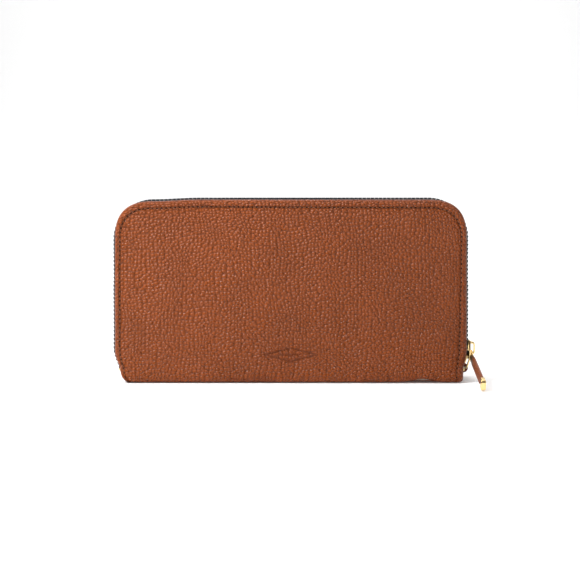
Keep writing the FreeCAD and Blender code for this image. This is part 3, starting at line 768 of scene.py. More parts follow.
def wear_group():
    """Rubbed and handled places: a mask from slow noise and one of long fine scratches."""
    name = "Handling Wear"
    if name in bpy.data.node_groups:
        return bpy.data.node_groups[name]
    inputs = [("Vector", VECTOR, None), ("Scale", FLOAT, 120.0)]
    tree, source, result = group_tree(name, inputs, [("Rub", FLOAT), ("Scratch", FLOAT)])
    slow = noise_node(tree, source.outputs["Vector"], source.outputs["Scale"], 4.0, Roughness=0.6)
    stretch = add(tree, "ShaderNodeMapping", None, Vector=source.outputs["Vector"], Scale=(0.35, 2.6, 1.0),
                  Rotation=(0.3, 0.5, 0.8))
    lines = noise_node(tree, stretch.outputs[0], 2600.0, 2.0)
    fill(tree, result, Rub=remap(tree, slow[0], 0.35, 0.72), Scratch=remap(tree, lines[0], 0.55, 0.75))
    return tree


def weave_group():
    """Over-and-under weave from two coordinates counted in threads."""
    name = "Woven Threads"
    if name in bpy.data.node_groups:
        return bpy.data.node_groups[name]
    inputs = [("Vector", VECTOR, None), ("Warp Pitch", FLOAT, 2400.0), ("Weft Pitch", FLOAT, 2400.0)]
    tree, source, result = group_tree(name, inputs, [("Height", FLOAT), ("Tone", FLOAT)])
    split = add(tree, "ShaderNodeSeparateXYZ", None, Vector=source.outputs["Vector"]).outputs
    across = times(tree, split[0], source.outputs["Warp Pitch"])
    down = times(tree, split[2], source.outputs["Weft Pitch"])
    parity = plus(tree, math_node(tree, "FLOOR", across), math_node(tree, "FLOOR", down))
    over = math_node(tree, "GREATER_THAN", math_node(tree, "PINGPONG", parity, 1.0), 0.5)
    mix = add(tree, "ShaderNodeMix", None, i0=over, i2=humps(tree, times(tree, across, math.pi)),
              i3=humps(tree, times(tree, down, math.pi)))
    fill(tree, result, Height=mix.outputs[0], Tone=noise_node(tree, source.outputs["Vector"], 900.0, 2.0)[0])
    return tree


def new_material(name):
    """New material, its tree, its shader and the object's own coordinates."""
    material = bpy.data.materials.new(name)
    material.use_nodes = True
    tree = material.node_tree
    return material, tree, tree.nodes["Principled BSDF"], add(tree, "ShaderNodeTexCoord").outputs["Object"]


def place_group(tree, group, vector, **inputs):
    return add(tree, "ShaderNodeGroup", {"node_tree": group}, Vector=vector, **inputs).outputs


def mix_colour(tree, share, a, b):
    a, b = [colour if isinstance(colour, bpy.types.NodeSocket) else (*colour, 1.0) for colour in (a, b)]
    return add(tree, "ShaderNodeMix", {"data_type": "RGBA"}, i0=share, i6=a, i7=b).outputs[2]


def bump(tree, shader, height, strength, distance):
    made = add(tree, "ShaderNodeBump", None, Height=height, Strength=strength, Distance=distance * MM)
    fill(tree, shader, Normal=made.outputs[0])


def shade(colour, factor):
    return tuple(min(1.0, c * factor) for c in colour)


def leather_material(name, colour, crease, cells_mm, crease_width=0.14, rough=0.31, relief=0.56, lean=1.0):
    """Pebbled leather with painted shade in the creases between the pebbles. It is also darker and smoother where the
    groove attribute marks the seam groove, which is painted shade, and the pressed mark, which is pressed leather's
    own darker tone together with painted shade.
    """
    material, tree, shader, coords = new_material(name)
    grain = place_group(tree, grain_group(), coords, Cells=1000.0 / cells_mm, Crease=crease_width, Lean=lean)
    wear = place_group(tree, wear_group(), coords, Scale=60.0)
    body = mix_colour(tree, remap(tree, grain["Mottle"], 0.3, 0.7), shade(colour, 0.92), shade(colour, 1.07))
    body = mix_colour(tree, times(tree, grain["Pebble Tone"], 0.2), body, shade(colour, 1.2))
    # Painted shade: the creases between the pebbles take the darker colour.
    body = mix_colour(tree, times(tree, grain["Crease Mask"], 0.45), body, crease)
    # Painted shade in the seam groove, and in the pressed mark together with pressed leather's own darker tone, from
    # the groove attribute.
    groove = add(tree, "ShaderNodeAttribute", {"attribute_name": "groove"}).outputs["Fac"]
    body = mix_colour(tree, times(tree, groove, 0.8), body, shade(crease, 0.55))
    gloss = plus(tree, times(tree, grain["Crease Mask"], 0.16), times(tree, wear["Rub"], -0.05))
    fill(tree, shader, Base_Color=body, Roughness=plus(tree, gloss, rough), Specular_IOR_Level=0.20)
    flat = math_node(tree, "SUBTRACT", 1.0, times(tree, groove, 1.6), clamp=True)
    bump(tree, shader, times(tree, grain["Height"], flat), 1.0, relief)
    return material


def fabric_material(name, colour, pitch_mm, rough=0.85, relief=0.08):
    material, tree, shader, coords = new_material(name)
    weave = place_group(tree, weave_group(), coords, Warp_Pitch=1000 / pitch_mm, Weft_Pitch=1000 / pitch_mm)
    body = mix_colour(tree, weave["Height"], shade(colour, 0.55), shade(colour, 1.3))
    body = mix_colour(tree, times(tree, weave["Tone"], 0.3), body, shade(colour, 1.6))
    fill(tree, shader, Base_Color=body, Roughness=rough, Sheen_Weight=0.25)
    bump(tree, shader, weave["Height"], 0.6, relief)
    return material


def tape_material(name, colour):
    """Zip tape: slanting ribs and fuzz, on the piece's own UV map where it has one."""
    material, tree, shader, coords = new_material(name)
    uv = add(tree, "ShaderNodeUVMap", {"uv_map": "tape"}).outputs[0]
    split = add(tree, "ShaderNodeSeparateXYZ", None, Vector=uv).outputs
    slant = plus(tree, times(tree, split[0], 1.4), math_node(tree, "PINGPONG", split[1], 1.6))
    rib = humps(tree, times(tree, slant, 6.0))
    fuzz = noise_node(tree, coords, 1500.0, 3.0)[0]
    body = mix_colour(tree, rib, shade(colour, 0.5), shade(colour, 1.5))
    body = mix_colour(tree, times(tree, fuzz, 0.35), body, shade(colour, 2.4))
    fill(tree, shader, Base_Color=body, Roughness=0.82)
    bump(tree, shader, plus(tree, rib, times(tree, fuzz, 0.4)), 0.55, 0.10)
    return material


def metal_material(name, colour, rough=0.16):
    material, tree, shader, coords = new_material(name)
    wear = place_group(tree, wear_group(), coords, Scale=260.0)
    uneven = plus(tree, times(tree, wear["Rub"], 0.08), times(tree, wear["Scratch"], 0.10))
    fill(tree, shader, Base_Color=mix_colour(tree, wear["Rub"], shade(colour, 0.90), shade(colour, 1.06)),
         Metallic=1.0, Roughness=plus(tree, uneven, rough))
    bump(tree, shader, wear["Scratch"], 0.15, 0.01)
    return material


def plastic_material(name, colour, rough=0.38):
    material, tree, shader, coords = new_material(name)
    wear = place_group(tree, wear_group(), coords, Scale=420.0)
    fill(tree, shader, Base_Color=mix_colour(tree, wear["Rub"], shade(colour, 0.75), shade(colour, 1.7)),
         Roughness=plus(tree, times(tree, wear["Rub"], 0.14), rough))
    bump(tree, shader, wear["Rub"], 0.2, 0.03)
    return material


def thread_material(name, colour):
    """Twisted thread."""
    material, tree, shader, coords = new_material(name)
    twist = add(tree, "ShaderNodeTexWave", {"wave_type": "BANDS", "bands_direction": "DIAGONAL"},
                Vector=coords, Scale=900.0, Distortion=1.5).outputs[1]
    fill(tree, shader, Base_Color=mix_colour(tree, twist, shade(colour, 0.6), shade(colour, 1.35)), Roughness=0.6)
    bump(tree, shader, twist, 0.5, 0.06)
    return material


def board_material(name, colour):
    material, tree, shader, coords = new_material(name)
    fibre = noise_node(tree, coords, 700.0, 5.0, Roughness=0.7)[0]
    fill(tree, shader, Base_Color=mix_colour(tree, fibre, shade(colour, 0.7), shade(colour, 1.2)), Roughness=0.9)
    bump(tree, shader, fibre, 0.4, 0.08)
    return material


MATERIALS = {}


def finish_of(key):
    """The named material, made when first asked for."""
    if key in MATERIALS:
        return MATERIALS[key]
    colours = bpy.context.scene.wallet_colours
    sizes = bpy.context.scene.wallet_sizes
    leather = tuple(colours.leather)
    # The darker colours given below to the cover, strap and inner leather for the creases between pebbles are painted
    # shade.
    makers = {
        "cover": lambda: leather_material("Pebbled Leather", leather, tuple(colours.leather_crease_shade), sizes.grain_size),
        "strap": lambda: leather_material("Strap Leather", shade(leather, 0.86), tuple(colours.leather_crease_shade),
                                          0.9, relief=0.14, lean=0.0),
        "inner": lambda: leather_material("Inner Leather", shade(leather, 1.12), shade(leather, 0.7), 0.7,
                                          crease_width=0.12, rough=0.5, relief=0.08),
        "thread": lambda: thread_material("Thread", tuple(colours.thread)),
        # Painted shade: the needle holes are near-black cups standing in for the shade inside them.
        "hole": lambda: board_material("Needle Hole", shade(tuple(colours.leather_crease_shade), 0.25)),
        "tape": lambda: tape_material("Zip Tape", tuple(colours.tape)),
        "teeth": lambda: plastic_material("Zip Teeth", tuple(colours.teeth)),
        "gold": lambda: metal_material("Pale Gold", tuple(colours.gold)),
        "gold_small": lambda: metal_material("Satin Gold", shade(tuple(colours.gold), 0.93), rough=0.28),
        "lining": lambda: fabric_material("Woven Lining", tuple(colours.lining), 0.35),
        "padding": lambda: board_material("Padding", (0.70, 0.66, 0.60)),
        "board": lambda: board_material("Board", (0.38, 0.35, 0.31)),
    }
    MATERIALS[key] = makers[key]()
    return MATERIALS[key]


def finish(obj, body, slot, *nodes):
    """Rides the piece on a body and hides the CAD nodes that it stands for; the slot argument is not used."""
    if nodes:
        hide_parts(*nodes)
    if body:
        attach(obj, body)
    return obj


def rounded_copy(node, name, key, width):
    """Copy of a CAD piece with its edges softened."""
    obj = new_object(name, frame["nodes"][node].data.copy())
    obj.data.materials.clear()
    obj.data.materials.append(finish_of(key))
    work = bmesh.new()
    work.from_mesh(obj.data)
    bmesh.ops.remove_doubles(work, verts=work.verts, dist=0.002 * MM)
    bmesh.ops.dissolve_limit(work, angle_limit=math.radians(1.5), verts=work.verts, edges=work.edges)
    work.to_mesh(obj.data)
    work.free()
    return soften(obj, width, 2, 35.0)


def drawn_in(obj):
    """Moves a sheet's lower ends in with the leather."""
    for vertex in obj.data.vertices:
        vertex.co.x = tucked(vertex.co.x / MM, vertex.co.z / MM) * MM
    return obj


def dress(node, key):
    """Gives a CAD node its material."""
    obj = frame["nodes"][node]
    obj.data.materials.clear()
    obj.data.materials.append(finish_of(key))
    return obj


# ---- operators ------------------------------------------------------------------------------------


class WALLET_OT_covers(bpy.types.Operator):
    """Make both leather covers, each with its rim, seam groove and half of the spine"""

    bl_idname = "wallet.covers"
    bl_label = "Covers"

    def execute(self, context):
        sizes = context.scene.wallet_sizes
        for name, side in SIDES:
            obj = cover_wrap(name + "_cover_leather", side, sizes, finish_of("cover"))
            nodes = [name + "_cover"] + (["spine_leather"] if side > 0 else [])
            finish(obj, None, "leather_outer", *nodes)
            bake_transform(obj, "spine", name + "_half", (0, 0, 0.5 * MM), (0, 0, 6.0 * MM))
        return {"FINISHED"}


class WALLET_OT_stitching(bpy.types.Operator):
    """Lay a row of stitches in the seam groove of each cover"""

    bl_idname = "wallet.stitching"
    bl_label = "Stitching"

    def execute(self, context):
        sizes = context.scene.wallet_sizes
        for name, side in SIDES:
            points = []
            for x, z, nx, nz in outline_path(sizes, FOLD_Z + 1.5, FOLD_Z + 1.5):
                step = seam_inset(sizes, x, z, nx) - rim_grow(nx, nz, SEAM_INSET)
                px = x - nx * step
                pz = z - nz * step
                points.append((tucked(px, pz), side * (FACE - SEAM_FLOOR + 0.17), pz))
            piece = stitch_piece(sizes.stitch_length, 0.55, finish_of("thread"))
            obj = repeat_along(name + "_seam_stitches", [points], piece, sizes.stitch_pitch, finish_of("thread"), 0.08)
            finish(obj, name + "_half", "thread", name + "_stitching")
            # Needle holes: cups of painted shade along the seam.
            piece = hole_piece(sizes.stitch_pitch / 2, side)
            obj = repeat_along(name + "_seam_holes", [points], piece, sizes.stitch_pitch, finish_of("hole"))
            finish(obj, name + "_half", "leather_outer")
        return {"FINISHED"}


TAPE_PROFILE = ((1.75, 9.2), (1.75, 7.4), (1.45, 6.3), (0.75, 5.4), (0.0, 4.7), (-0.55, 3.9), (-0.85, 3.1),
                (-0.95, 2.3), (-0.95, 1.7))


class WALLET_OT_outer_zip(bpy.types.Operator):
    """Make the outer zip: two woven tapes, two rows of teeth and the end stops"""

    bl_idname = "wallet.outer_zip"
    bl_label = "Outer Zip"

    def execute(self, context):
        sizes = context.scene.wallet_sizes
        low = cad("front_zip_tape")[0].z
        start = TEETH_LOW.z
        end = SLIDER_LOW.z + 4.8
        centre = ZIP_PROUD - (TEETH_HIGH.x - HALF + 0.3) / 2
        for name, side in SIDES:
            path = outline_path(sizes, low, low)
            points = []
            uvs = []
            length = 0.0
            before = None
            for x, z, nx, nz in path:
                if before is not None:
                    length += math.hypot(x - before[0], z - before[1])
                before = (x, z)
                for inset, depth in TAPE_PROFILE:
                    grow = rim_grow(nx, nz, 0.0) * max(0.0, min(1.0, (depth - 3.0) / 3.0))
                    px = x - nx * (inset - grow)
                    pz = z - nz * (inset - grow)
                    points.append((tucked(px, pz), side * depth, pz))
                    uvs.append((length, depth))
            faces = grid_faces(len(path), len(TAPE_PROFILE), flip=side > 0)
            obj = mesh_object(name + "_tape_weave", points, faces, finish_of("tape"))
            layer = obj.data.uv_layers.new(name="tape")
            for loop in obj.data.loops:
                layer.data[loop.index].uv = uvs[loop.vertex_index]
            thicken(obj, 0.6, 0.0)
            finish(obj, name + "_half", "zip_tape", name + "_zip_tape")

            chain = []
            for x, z, nx, nz in outline_path(sizes, start, end):
                px = x + nx * centre
                pz = z + nz * centre
                chain.append((tucked(px, pz), 0.0, pz))
            shift = 0.0 if side < 0 else sizes.tooth_pitch / 2
            piece = tooth_piece(side, shift, finish_of("teeth"))
            teeth = repeat_along(name + "_teeth_row", [chain], piece, sizes.tooth_pitch, finish_of("teeth"))
            finish(teeth, name + "_half", "zip_teeth", name + "_zip_teeth")

            stop_low, stop_high = cad(name + "_zip_stops")
            depths = sorted((abs(stop_low.y), abs(stop_high.y)))
            for end_name, x_side in (("left", -1), ("right", 1)):
                x = x_side * (HALF + centre)
                x = tucked(x, (stop_low.z + stop_high.z) / 2)
                ring = [(x - 1.1, side * depths[0], stop_low.z), (x + 1.1, side * depths[0], stop_low.z),
                        (x + 1.1, side * depths[0], stop_high.z), (x - 1.1, side * depths[0], stop_high.z)]
                stop = prism("%s_stop_%s" % (name, end_name), ring, (0, side * (depths[1] - depths[0]), 0),
                             finish_of("gold_small"), edge=0.25)
                finish(stop, name + "_half", "gold_small", name + "_zip_stops")
        return {"FINISHED"}


class WALLET_OT_slider(bpy.types.Operator):
    """Finish the slider, its bridge and the round link in polished gold"""

    bl_idname = "wallet.slider"
    bl_label = "Slider"

    def execute(self, context):
        for node, name, width in (("zip_slider", "slider_body", 0.16), ("zip_slider_bridge", "slider_arch", 0.22)):
            piece = rounded_copy(node, name, "gold", width)
            finish(piece, "zip_slider", "gold_metal", node)
        link = round_wire("pull_link_round", link_circle(), LINK_WIRE, finish_of("gold"))
        finish(link, "pull_link", "gold_metal", "pull_link")
        return {"FINISHED"}


def link_circle():
    """Centre line of the round link."""
    radius = (LINK_HIGH.z - LINK_LOW.z) / 2 - LINK_WIRE
    steps = 48
    turns = (2 * math.pi * i / steps for i in range(steps))
    return [(LINK_CENTRE.x, LINK_CENTRE.y + radius * math.cos(t), LINK_CENTRE.z + radius * math.sin(t)) for t in turns]


def round_wire(name, centre_line, radius, material, sides=16):
    """Closed round wire along a flat loop of points."""
    points = [Vector(p) for p in centre_line]
    count = len(points)
    middle = sum(points, Vector()) / count
    flat = (points[0] - middle).cross(points[count // 4] - middle).normalized()
    made = []
    for i, p in enumerate(points):
        along = (points[(i + 1) % count] - points[i - 1]).normalized()
        out = along.cross(flat).normalized()
        for k in range(sides):
            turn = 2 * math.pi * k / sides
            made.append(p + radius * (math.cos(turn) * out + math.sin(turn) * flat))
    faces = []
    for i in range(count):
        for k in range(sides):
            a = i * sides + k
            b = i * sides + (k + 1) % sides
            c = ((i + 1) % count) * sides
            faces.append([a, b, c + (k + 1) % sides, c + k])
    return turn_outwards(mesh_object(name, made, faces, material))


def rest_swing():
    """Angle between hanging straight down and the pull's rest pose."""
    low, high = cad("pull_end_cap")
    middle = (low + high) / 2 - LINK_CENTRE
    return math.atan2(-middle.y, -middle.z)


def hang(points, turn):
    """Points given as (across, out, down) from the link's centre, swung forward by turn."""
    placed = []
    for across, out, down in points:
        y = across * math.cos(turn) - down * math.sin(turn)
        z = -across * math.sin(turn) - down * math.cos(turn)
        placed.append((LINK_CENTRE.x + out, LINK_CENTRE.y + y, LINK_CENTRE.z + z))
    return placed


PULL_REACH = 38.0           # from the link's centre to the cap's end
PULL_WIDTH = 5.0
PULL_NECK = 3.8
CAP_LENGTH = 5.0


class WALLET_OT_pull(bpy.types.Operator):
    """Make the leather pull strap with its stitches, and the metal cap on its end"""

    bl_idname = "wallet.pull"
    bl_label = "Pull"

    def execute(self, context):
        turn = rest_swing()
        low, high = cad("pull_strap")
        half_thick = (high.x - low.x) / 2
        low, high = cad("pull_end_cap")
        cap_thick = (high.x - low.x) / 2
        neck = PULL_NECK / 2
        half = PULL_WIDTH / 2
        cap_start = PULL_REACH - CAP_LENGTH
        right = [(0.0, 1.9), (0.6 * neck, 2.0), (0.92 * neck, 2.7), (neck, 4.2), (0.5 * (neck + half), 6.0),
                 (0.96 * half, 7.6), (half, 9.2), (half, 0.5 * PULL_REACH), (half, PULL_REACH - 1.0)]
        ring = right + [(-a, d) for a, d in reversed(right[1:])]
        outline = hang([(a, -half_thick, d) for a, d in ring], turn)
        strap = prism("pull_strap_leather", outline, (2 * half_thick, 0, 0), finish_of("strap"), edge=0.4, segments=3)
        finish(strap, "pull_strap", "leather_outer", "pull_strap")
        rows = []
        for face in (-half_thick, half_thick):
            for edge in (-0.68 * half, 0.68 * half):
                rows.append(hang([(edge, face * 1.03, d) for d in (9.0, 15.0, cap_start - 0.8)], turn))
        stitches = repeat_along("pull_stitches", rows, stitch_piece(1.5, 0.34, finish_of("thread")), 2.2,
                                finish_of("thread"), 0.05)
        finish(stitches, "pull_strap", "thread")
        wide = half + 0.35
        tip = 0.9
        cap_ring = [(-wide, cap_start), (wide, cap_start), (wide, PULL_REACH - tip), (wide - tip, PULL_REACH),
                    (tip - wide, PULL_REACH), (-wide, PULL_REACH - tip)]
        cap_outline = hang([(a, -cap_thick, d) for a, d in cap_ring], turn)
        cap = prism("pull_cap_metal", cap_outline, (2 * cap_thick, 0, 0), finish_of("gold"), edge=0.35, segments=3)
        finish(cap, "pull_strap", "gold_metal", "pull_end_cap")
        return {"FINISHED"}


class WALLET_OT_ring(bpy.types.Operator):
    """Make the leather tab and finish the strap ring that it holds"""

    bl_idname = "wallet.ring"
    bl_label = "Strap Ring"

    def execute(self, context):
        ring = rounded_copy("strap_ring", "strap_ring_wire", "gold", 0.02)
        finish(ring, "strap_ring", "gold_metal", "strap_ring")
        low, high = cad("strap_tab")
        radius = (high.z - low.z) / 2
        centre_x = high.x - radius
        centre_z = (high.z + low.z) / 2
        bar_x = JOINTS["ring_swing"]["pos_m"][0] / MM
        outer = [(low.x - 1.2, high.z)] + arc((centre_x, centre_z), radius, 90, -90, 14) + [(low.x - 1.2, low.z)]
        inner = arc((bar_x, centre_z), 0.85, -90, 90, 10)
        inner = [(low.x - 1.2, centre_z - 0.25)] + [(bar_x - 0.7, centre_z - 0.3)] + inner
        inner += [(bar_x - 0.7, centre_z + 0.3), (low.x - 1.2, centre_z + 0.25)]
        tab = plate("strap_tab_leather", outer + inner, low, high, finish_of("strap"), 0.18)
        finish(tab, "back_half", "leather_outer", "strap_tab")
        return {"FINISHED"}


def upright_sheet(name, node, radii, material, edge=0.12):
    """Thin sheet with rounded corners in the place of a CAD sheet."""
    low, high = cad(node)
    outline = round_box_outline(low.x, high.x, low.z, high.z, radii)
    return drawn_in(plate(name, outline, low, high, material, edge))


class WALLET_OT_inner_panels(bpy.types.Operator):
    """Make the linings, card panels and card slots of both halves"""

    bl_idname = "wallet.inner_panels"
    bl_label = "Inner Panels"

    def execute(self, context):
        for name, side in SIDES:
            body = name + "_half"
            lining = upright_sheet(name + "_lining_cloth", name + "_lining", (1, 1, 20, 20), finish_of("lining"))
            finish(lining, body, "lining", name + "_lining")
            panel = upright_sheet(name + "_panel_leather", name + "_card_panel", (1, 1, 16, 16), finish_of("inner"))
            finish(panel, body, "leather_inner", name + "_card_panel")
            for layer in range(1, 5):
                node = "%s_card_slot_%d" % (name, layer)
                low, high = cad(node)
                slots = []
                seams = []
                for x_side in (-1, 1):
                    near = 0.8 * x_side
                    far = high.x * x_side
                    x0, x1 = min(near, far), max(near, far)
                    outline = round_box_outline(x0, x1, low.z, high.z, (0.6, 0.6, 1.6, 1.6), 4)
                    slots.append(plate("slot_piece", outline, low, high, finish_of("inner"), 0.16))
                    face = high.y if side < 0 else low.y
                    seams.append([(x0 + 1.2, face, high.z - 1.3), (x1 - 1.2, face, high.z - 1.3)])
                joined = join(slots, node + "_leather")
                finish(joined, body, "leather_inner", node)
                piece = stitch_piece(1.5, 0.35, finish_of("thread"))
                rows = repeat_along(node + "_stitches", seams, piece, 2.2, finish_of("thread"))
                finish(rows, body, "thread")
            for layer_name, key, slot in (("foam", "padding", "padding"), ("board", "board", "stiffener")):
                node = "%s_%s" % (name, layer_name)
                sheet = finish(drawn_in(rounded_copy(node, node + "_sheet", key, 0.1)), body, slot, node)
        for node, key, slot in (("spine_board", "board", "stiffener"), ("spine_lining", "lining", "lining")):
            finish(drawn_in(rounded_copy(node, node + "_sheet", key, 0.1)), "spine", slot, node)
        return {"FINISHED"}


def join(objects, name):
    """One mesh of several objects at the origin."""
    work = bmesh.new()
    material = objects[0].data.materials[0]
    for obj in objects:
        work.from_mesh(obj.data)
        bpy.data.objects.remove(obj)
    mesh = bpy.data.meshes.new(name)
    work.to_mesh(mesh)
    work.free()
    mesh.materials.append(material)
    return new_object(name, mesh)


COIN_TOOTH_PITCH = 1.5
COIN_TOOTH_HALF = 0.65


class WALLET_OT_coin_pocket(bpy.types.Operator):
    """Make the coin pocket's walls, its zip and the small slider's finish"""

    bl_idname = "wallet.coin_pocket"
    bl_label = "Coin Pocket"

    def execute(self, context):
        for name, side in SIDES:
            node = "coin_pocket_" + name
            wall = upright_sheet(node + "_leather", node, (0.5, 0.5, 2.5, 2.5), finish_of("inner"), edge=0.2)
            finish(wall, "spine", "leather_inner", node)
            tape_low, tape_high = cad("coin_zip_tape_" + name)
            ring = [(tape_low.x, tape_low.y, tape_low.z), (tape_high.x, tape_low.y, tape_low.z),
                    (tape_high.x, tape_high.y, tape_low.z), (tape_low.x, tape_high.y, tape_low.z)]
            tape = prism("coin_tape_%s_weave" % name, ring, (0, 0, tape_high.z - tape_low.z), finish_of("lining"),
                         edge=0.1)
            finish(tape, "spine", "zip_tape", "coin_zip_tape_" + name)
        edge_low, edge_high = cad("coin_pocket_edge")
        ring = [(edge_low.x, edge_high.z), (edge_low.x, edge_low.z), (edge_high.x, edge_low.z),
                (edge_high.x, edge_high.z), (edge_high.x - 0.6, edge_high.z), (edge_high.x - 0.6, edge_low.z + 0.6),
                (edge_low.x + 0.6, edge_low.z + 0.6), (edge_low.x + 0.6, edge_high.z)]
        strip = plate("coin_pocket_edge_leather", ring, edge_low, edge_high, finish_of("inner"), 0.1)
        finish(strip, "spine", "leather_inner", "coin_pocket_edge")
        low, high = cad("coin_zip_teeth")
        centre_z = (low.z + high.z) / 2
        ring = [(-0.42, -0.85), (0.42, -0.85), (0.42, -0.2), (0.25, 0.3), (-0.25, 0.3), (-0.42, -0.2)]
        parts = []
        for shift, flip in ((0.0, 1), (COIN_TOOTH_PITCH / 2, -1)):
            row = [(low.x + 0.4 + shift, 0.0, centre_z), (high.x - 0.3, 0.0, centre_z)]
            outline = [(x, flip * y, -COIN_TOOTH_HALF) for x, y in ring]
            piece = prism("coin_tooth", outline, (0, 0, 2 * COIN_TOOTH_HALF), finish_of("gold_small"), edge=0.1,
                          segments=1)
            parts.append(repeat_along("coin_row", [row], piece, COIN_TOOTH_PITCH, finish_of("gold_small")))
        finish(join(parts, "coin_teeth_rows"), "spine", "gold_small", "coin_zip_teeth")
        for node, body in (("coin_slider", "coin_slider"), ("coin_slider_bridge", "coin_slider"),
                           ("coin_pull", "coin_pull")):
            finish(rounded_copy(node, node + "_metal", "gold", 0.14), body, "gold_metal", node)
        dress("coin_zip_stops", "gold_small")
        return {"FINISHED"}


class WALLET_OT_gussets(bpy.types.Operator):
    """Make the four folded side gussets that open with the halves"""

    bl_idname = "wallet.gussets"
    bl_label = "Gussets"

    def execute(self, context):
        for name, side in SIDES:
            for end_name, end in (("left", -1), ("right", 1)):
                node = "gusset_%s_%s" % (name, end_name)
                low, high = cad(node)
                near = min(abs(low.y), abs(high.y))
                far = near + 1.6
                panel = max(abs(low.y), abs(high.y))
                outer = max(abs(low.x), abs(high.x)) - 0.3
                fold = min(abs(low.x), abs(high.x)) + 0.6
                deep = far - near - 0.4
                steps = 8
                section = []
                for i in range(2 * steps + 1):
                    inward = 1 - abs(i - steps) / steps
                    section.append((outer + (fold - outer) * inward, near + 0.2 + deep * 0.5 * i / steps))
                section.append((outer, panel - 0.1))
                rows = 18
                points = []
                for r in range(rows + 1):
                    z = low.z + (high.z - low.z) * r / rows
                    narrow = 0.25 + 0.75 * r / rows
                    for x, y in section:
                        points.append((end * (outer - (outer - x) * narrow), side * y, z))
                faces = grid_faces(rows + 1, len(section), flip=end * side > 0)
                obj = mesh_object(node + "_leather", points, faces, finish_of("inner"))
                thicken(obj, 0.3, 0.0)
                finish(obj, None, "leather_inner", node)
                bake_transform(obj, "spine", name + "_half", (0, side * (near + 0.2) * MM, 0), (0, side * far * MM, 0))
        return {"FINISHED"}


CAMERA_DISTANCE = 0.560
CAMERA_HEIGHT = 0.098
VIEW_WIDTH = 0.3198
SENSOR = 36.0
VIEW_DROP = -0.0023             # shift of the view, as a share of its width
VIEW_ASIDE = -0.0014
WALLET_MIDDLE = (0.0, 0.0, 0.05)
BACKDROP = (0.0, 2.2, 0.8)
LIGHTS = (                      # name, place, size, watts and target, in metres
    ("key_light", (-0.28, -0.19, 0.42), 0.13, 3.2, WALLET_MIDDLE),
    ("top_light", (0.0, 0.4, 1.9), 3.4, 38.0, WALLET_MIDDLE),
    ("rim_light", (-0.05, 0.03, 0.75), 0.40, 1.7, WALLET_MIDDLE),
    ("left_light", (-0.70, -0.02, 0.35), 0.40, 1.0, WALLET_MIDDLE),
    ("right_light", (0.75, -0.02, 0.32), 0.40, 1.5, WALLET_MIDDLE),
    ("back_light", (0.0, 0.7, 0.9), 1.6, 20.0, BACKDROP),
)
FLOOR_REACH = 6.0
FLOOR_DEPTH = 1.6               # from the wallet back to where the floor bends up
FLOOR_BEND = 1.0


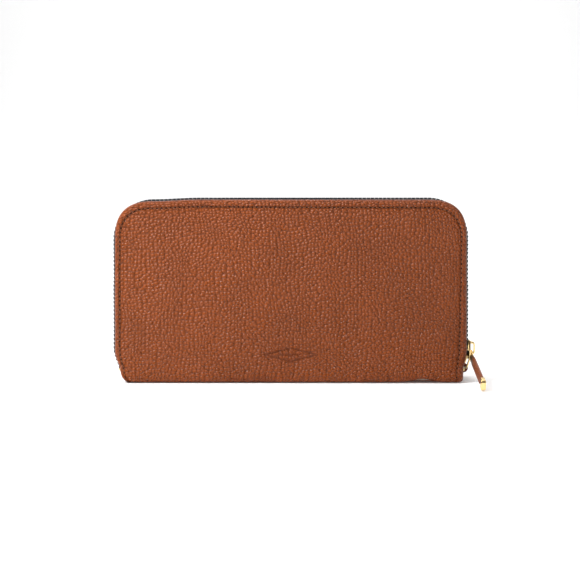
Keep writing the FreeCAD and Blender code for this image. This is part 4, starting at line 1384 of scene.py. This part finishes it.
class WALLET_OT_stage(bpy.types.Operator):
    """Set the pale floor, the soft studio lights and the camera"""

    bl_idname = "wallet.stage"
    bl_label = "Stage"

    def execute(self, context):
        scene = context.scene
        scene.view_settings.view_transform = "Standard"
        scene.view_settings.look = "None"
        world = bpy.data.worlds.new("Studio")
        scene.world = world
        world.use_nodes = True
        back = world.node_tree.nodes["Background"]
        fill(world.node_tree, back, Color=(1.0, 1.0, 1.0, 1.0), Strength=0.12)

        steps = 24
        profile = [(-FLOOR_REACH, 0.0), (FLOOR_DEPTH, 0.0)]
        profile += [(FLOOR_DEPTH + FLOOR_BEND * math.sin(t), FLOOR_BEND - FLOOR_BEND * math.cos(t))
                    for t in (math.pi / 2 * i / steps for i in range(1, steps + 1))]
        profile.append((FLOOR_DEPTH + FLOOR_BEND, FLOOR_REACH))
        points = [(x / MM, y / MM, z / MM) for y, z in profile for x in (-FLOOR_REACH, FLOOR_REACH)]
        paper, tree, shader, coords = new_material("Studio Paper")
        fibre = noise_node(tree, coords, 300.0, 3.0)[0]
        fill(tree, shader, Base_Color=mix_colour(tree, fibre, (0.93, 0.93, 0.93), (0.95, 0.95, 0.95)), Roughness=0.7,
             Emission_Color=(1.0, 1.0, 1.0, 1.0), Emission_Strength=0.10)
        floor = mesh_object("studio_floor", points, grid_faces(len(profile), 2), paper)

        for name, place, size, power, target in LIGHTS:
            light = bpy.data.lights.new(name, "AREA")
            light.shape = "SQUARE"
            light.size = size
            light.energy = power
            lamp = new_object(name, light)
            lamp.location = place
            aim = Vector(target) - Vector(place)
            lamp.rotation_euler = aim.to_track_quat("-Z", "Y").to_euler()

        camera = bpy.data.cameras.new("camera")
        camera.sensor_width = SENSOR
        camera.lens = SENSOR * CAMERA_DISTANCE / VIEW_WIDTH
        middle = (TEETH_HIGH.z * MM) / 2
        camera.shift_y = (middle - CAMERA_HEIGHT) / VIEW_WIDTH + VIEW_DROP
        camera.shift_x = VIEW_ASIDE
        camera.clip_start = 0.01
        holder = new_object("camera", camera)
        holder.location = (0.0, -CAMERA_DISTANCE, CAMERA_HEIGHT)
        holder.rotation_euler = (math.radians(90), 0, 0)
        scene.camera = holder
        return {"FINISHED"}


OPERATORS = (
    WALLET_OT_stage,
    WALLET_OT_covers,
    WALLET_OT_stitching,
    WALLET_OT_outer_zip,
    WALLET_OT_slider,
    WALLET_OT_pull,
    WALLET_OT_ring,
    WALLET_OT_inner_panels,
    WALLET_OT_coin_pocket,
    WALLET_OT_gussets,
)


class WALLET_PT_panel(bpy.types.Panel):
    bl_label = "Wallet"
    bl_idname = "WALLET_PT_panel"
    bl_space_type = "VIEW_3D"
    bl_region_type = "UI"
    bl_category = "Wallet"

    def draw(self, context):
        layout = self.layout
        for group in (context.scene.wallet_sizes, context.scene.wallet_colours):
            for key in group.__annotations__:
                layout.prop(group, key)
        for operator in OPERATORS:
            layout.operator(operator.bl_idname)


CLASSES = (WalletSizes, WalletColours) + OPERATORS + (WALLET_PT_panel,)


def register():
    for item in CLASSES:
        bpy.utils.register_class(item)
    bpy.types.Scene.wallet_sizes = PointerProperty(type=WalletSizes)
    bpy.types.Scene.wallet_colours = PointerProperty(type=WalletColours)


def unregister():
    del bpy.types.Scene.wallet_colours
    del bpy.types.Scene.wallet_sizes
    for item in reversed(CLASSES):
        bpy.utils.unregister_class(item)


def main():
    register()
    for operator in OPERATORS:
        group, name = operator.bl_idname.split(".")
        getattr(getattr(bpy.ops, group), name)()


if __name__ == "__main__":
    main()
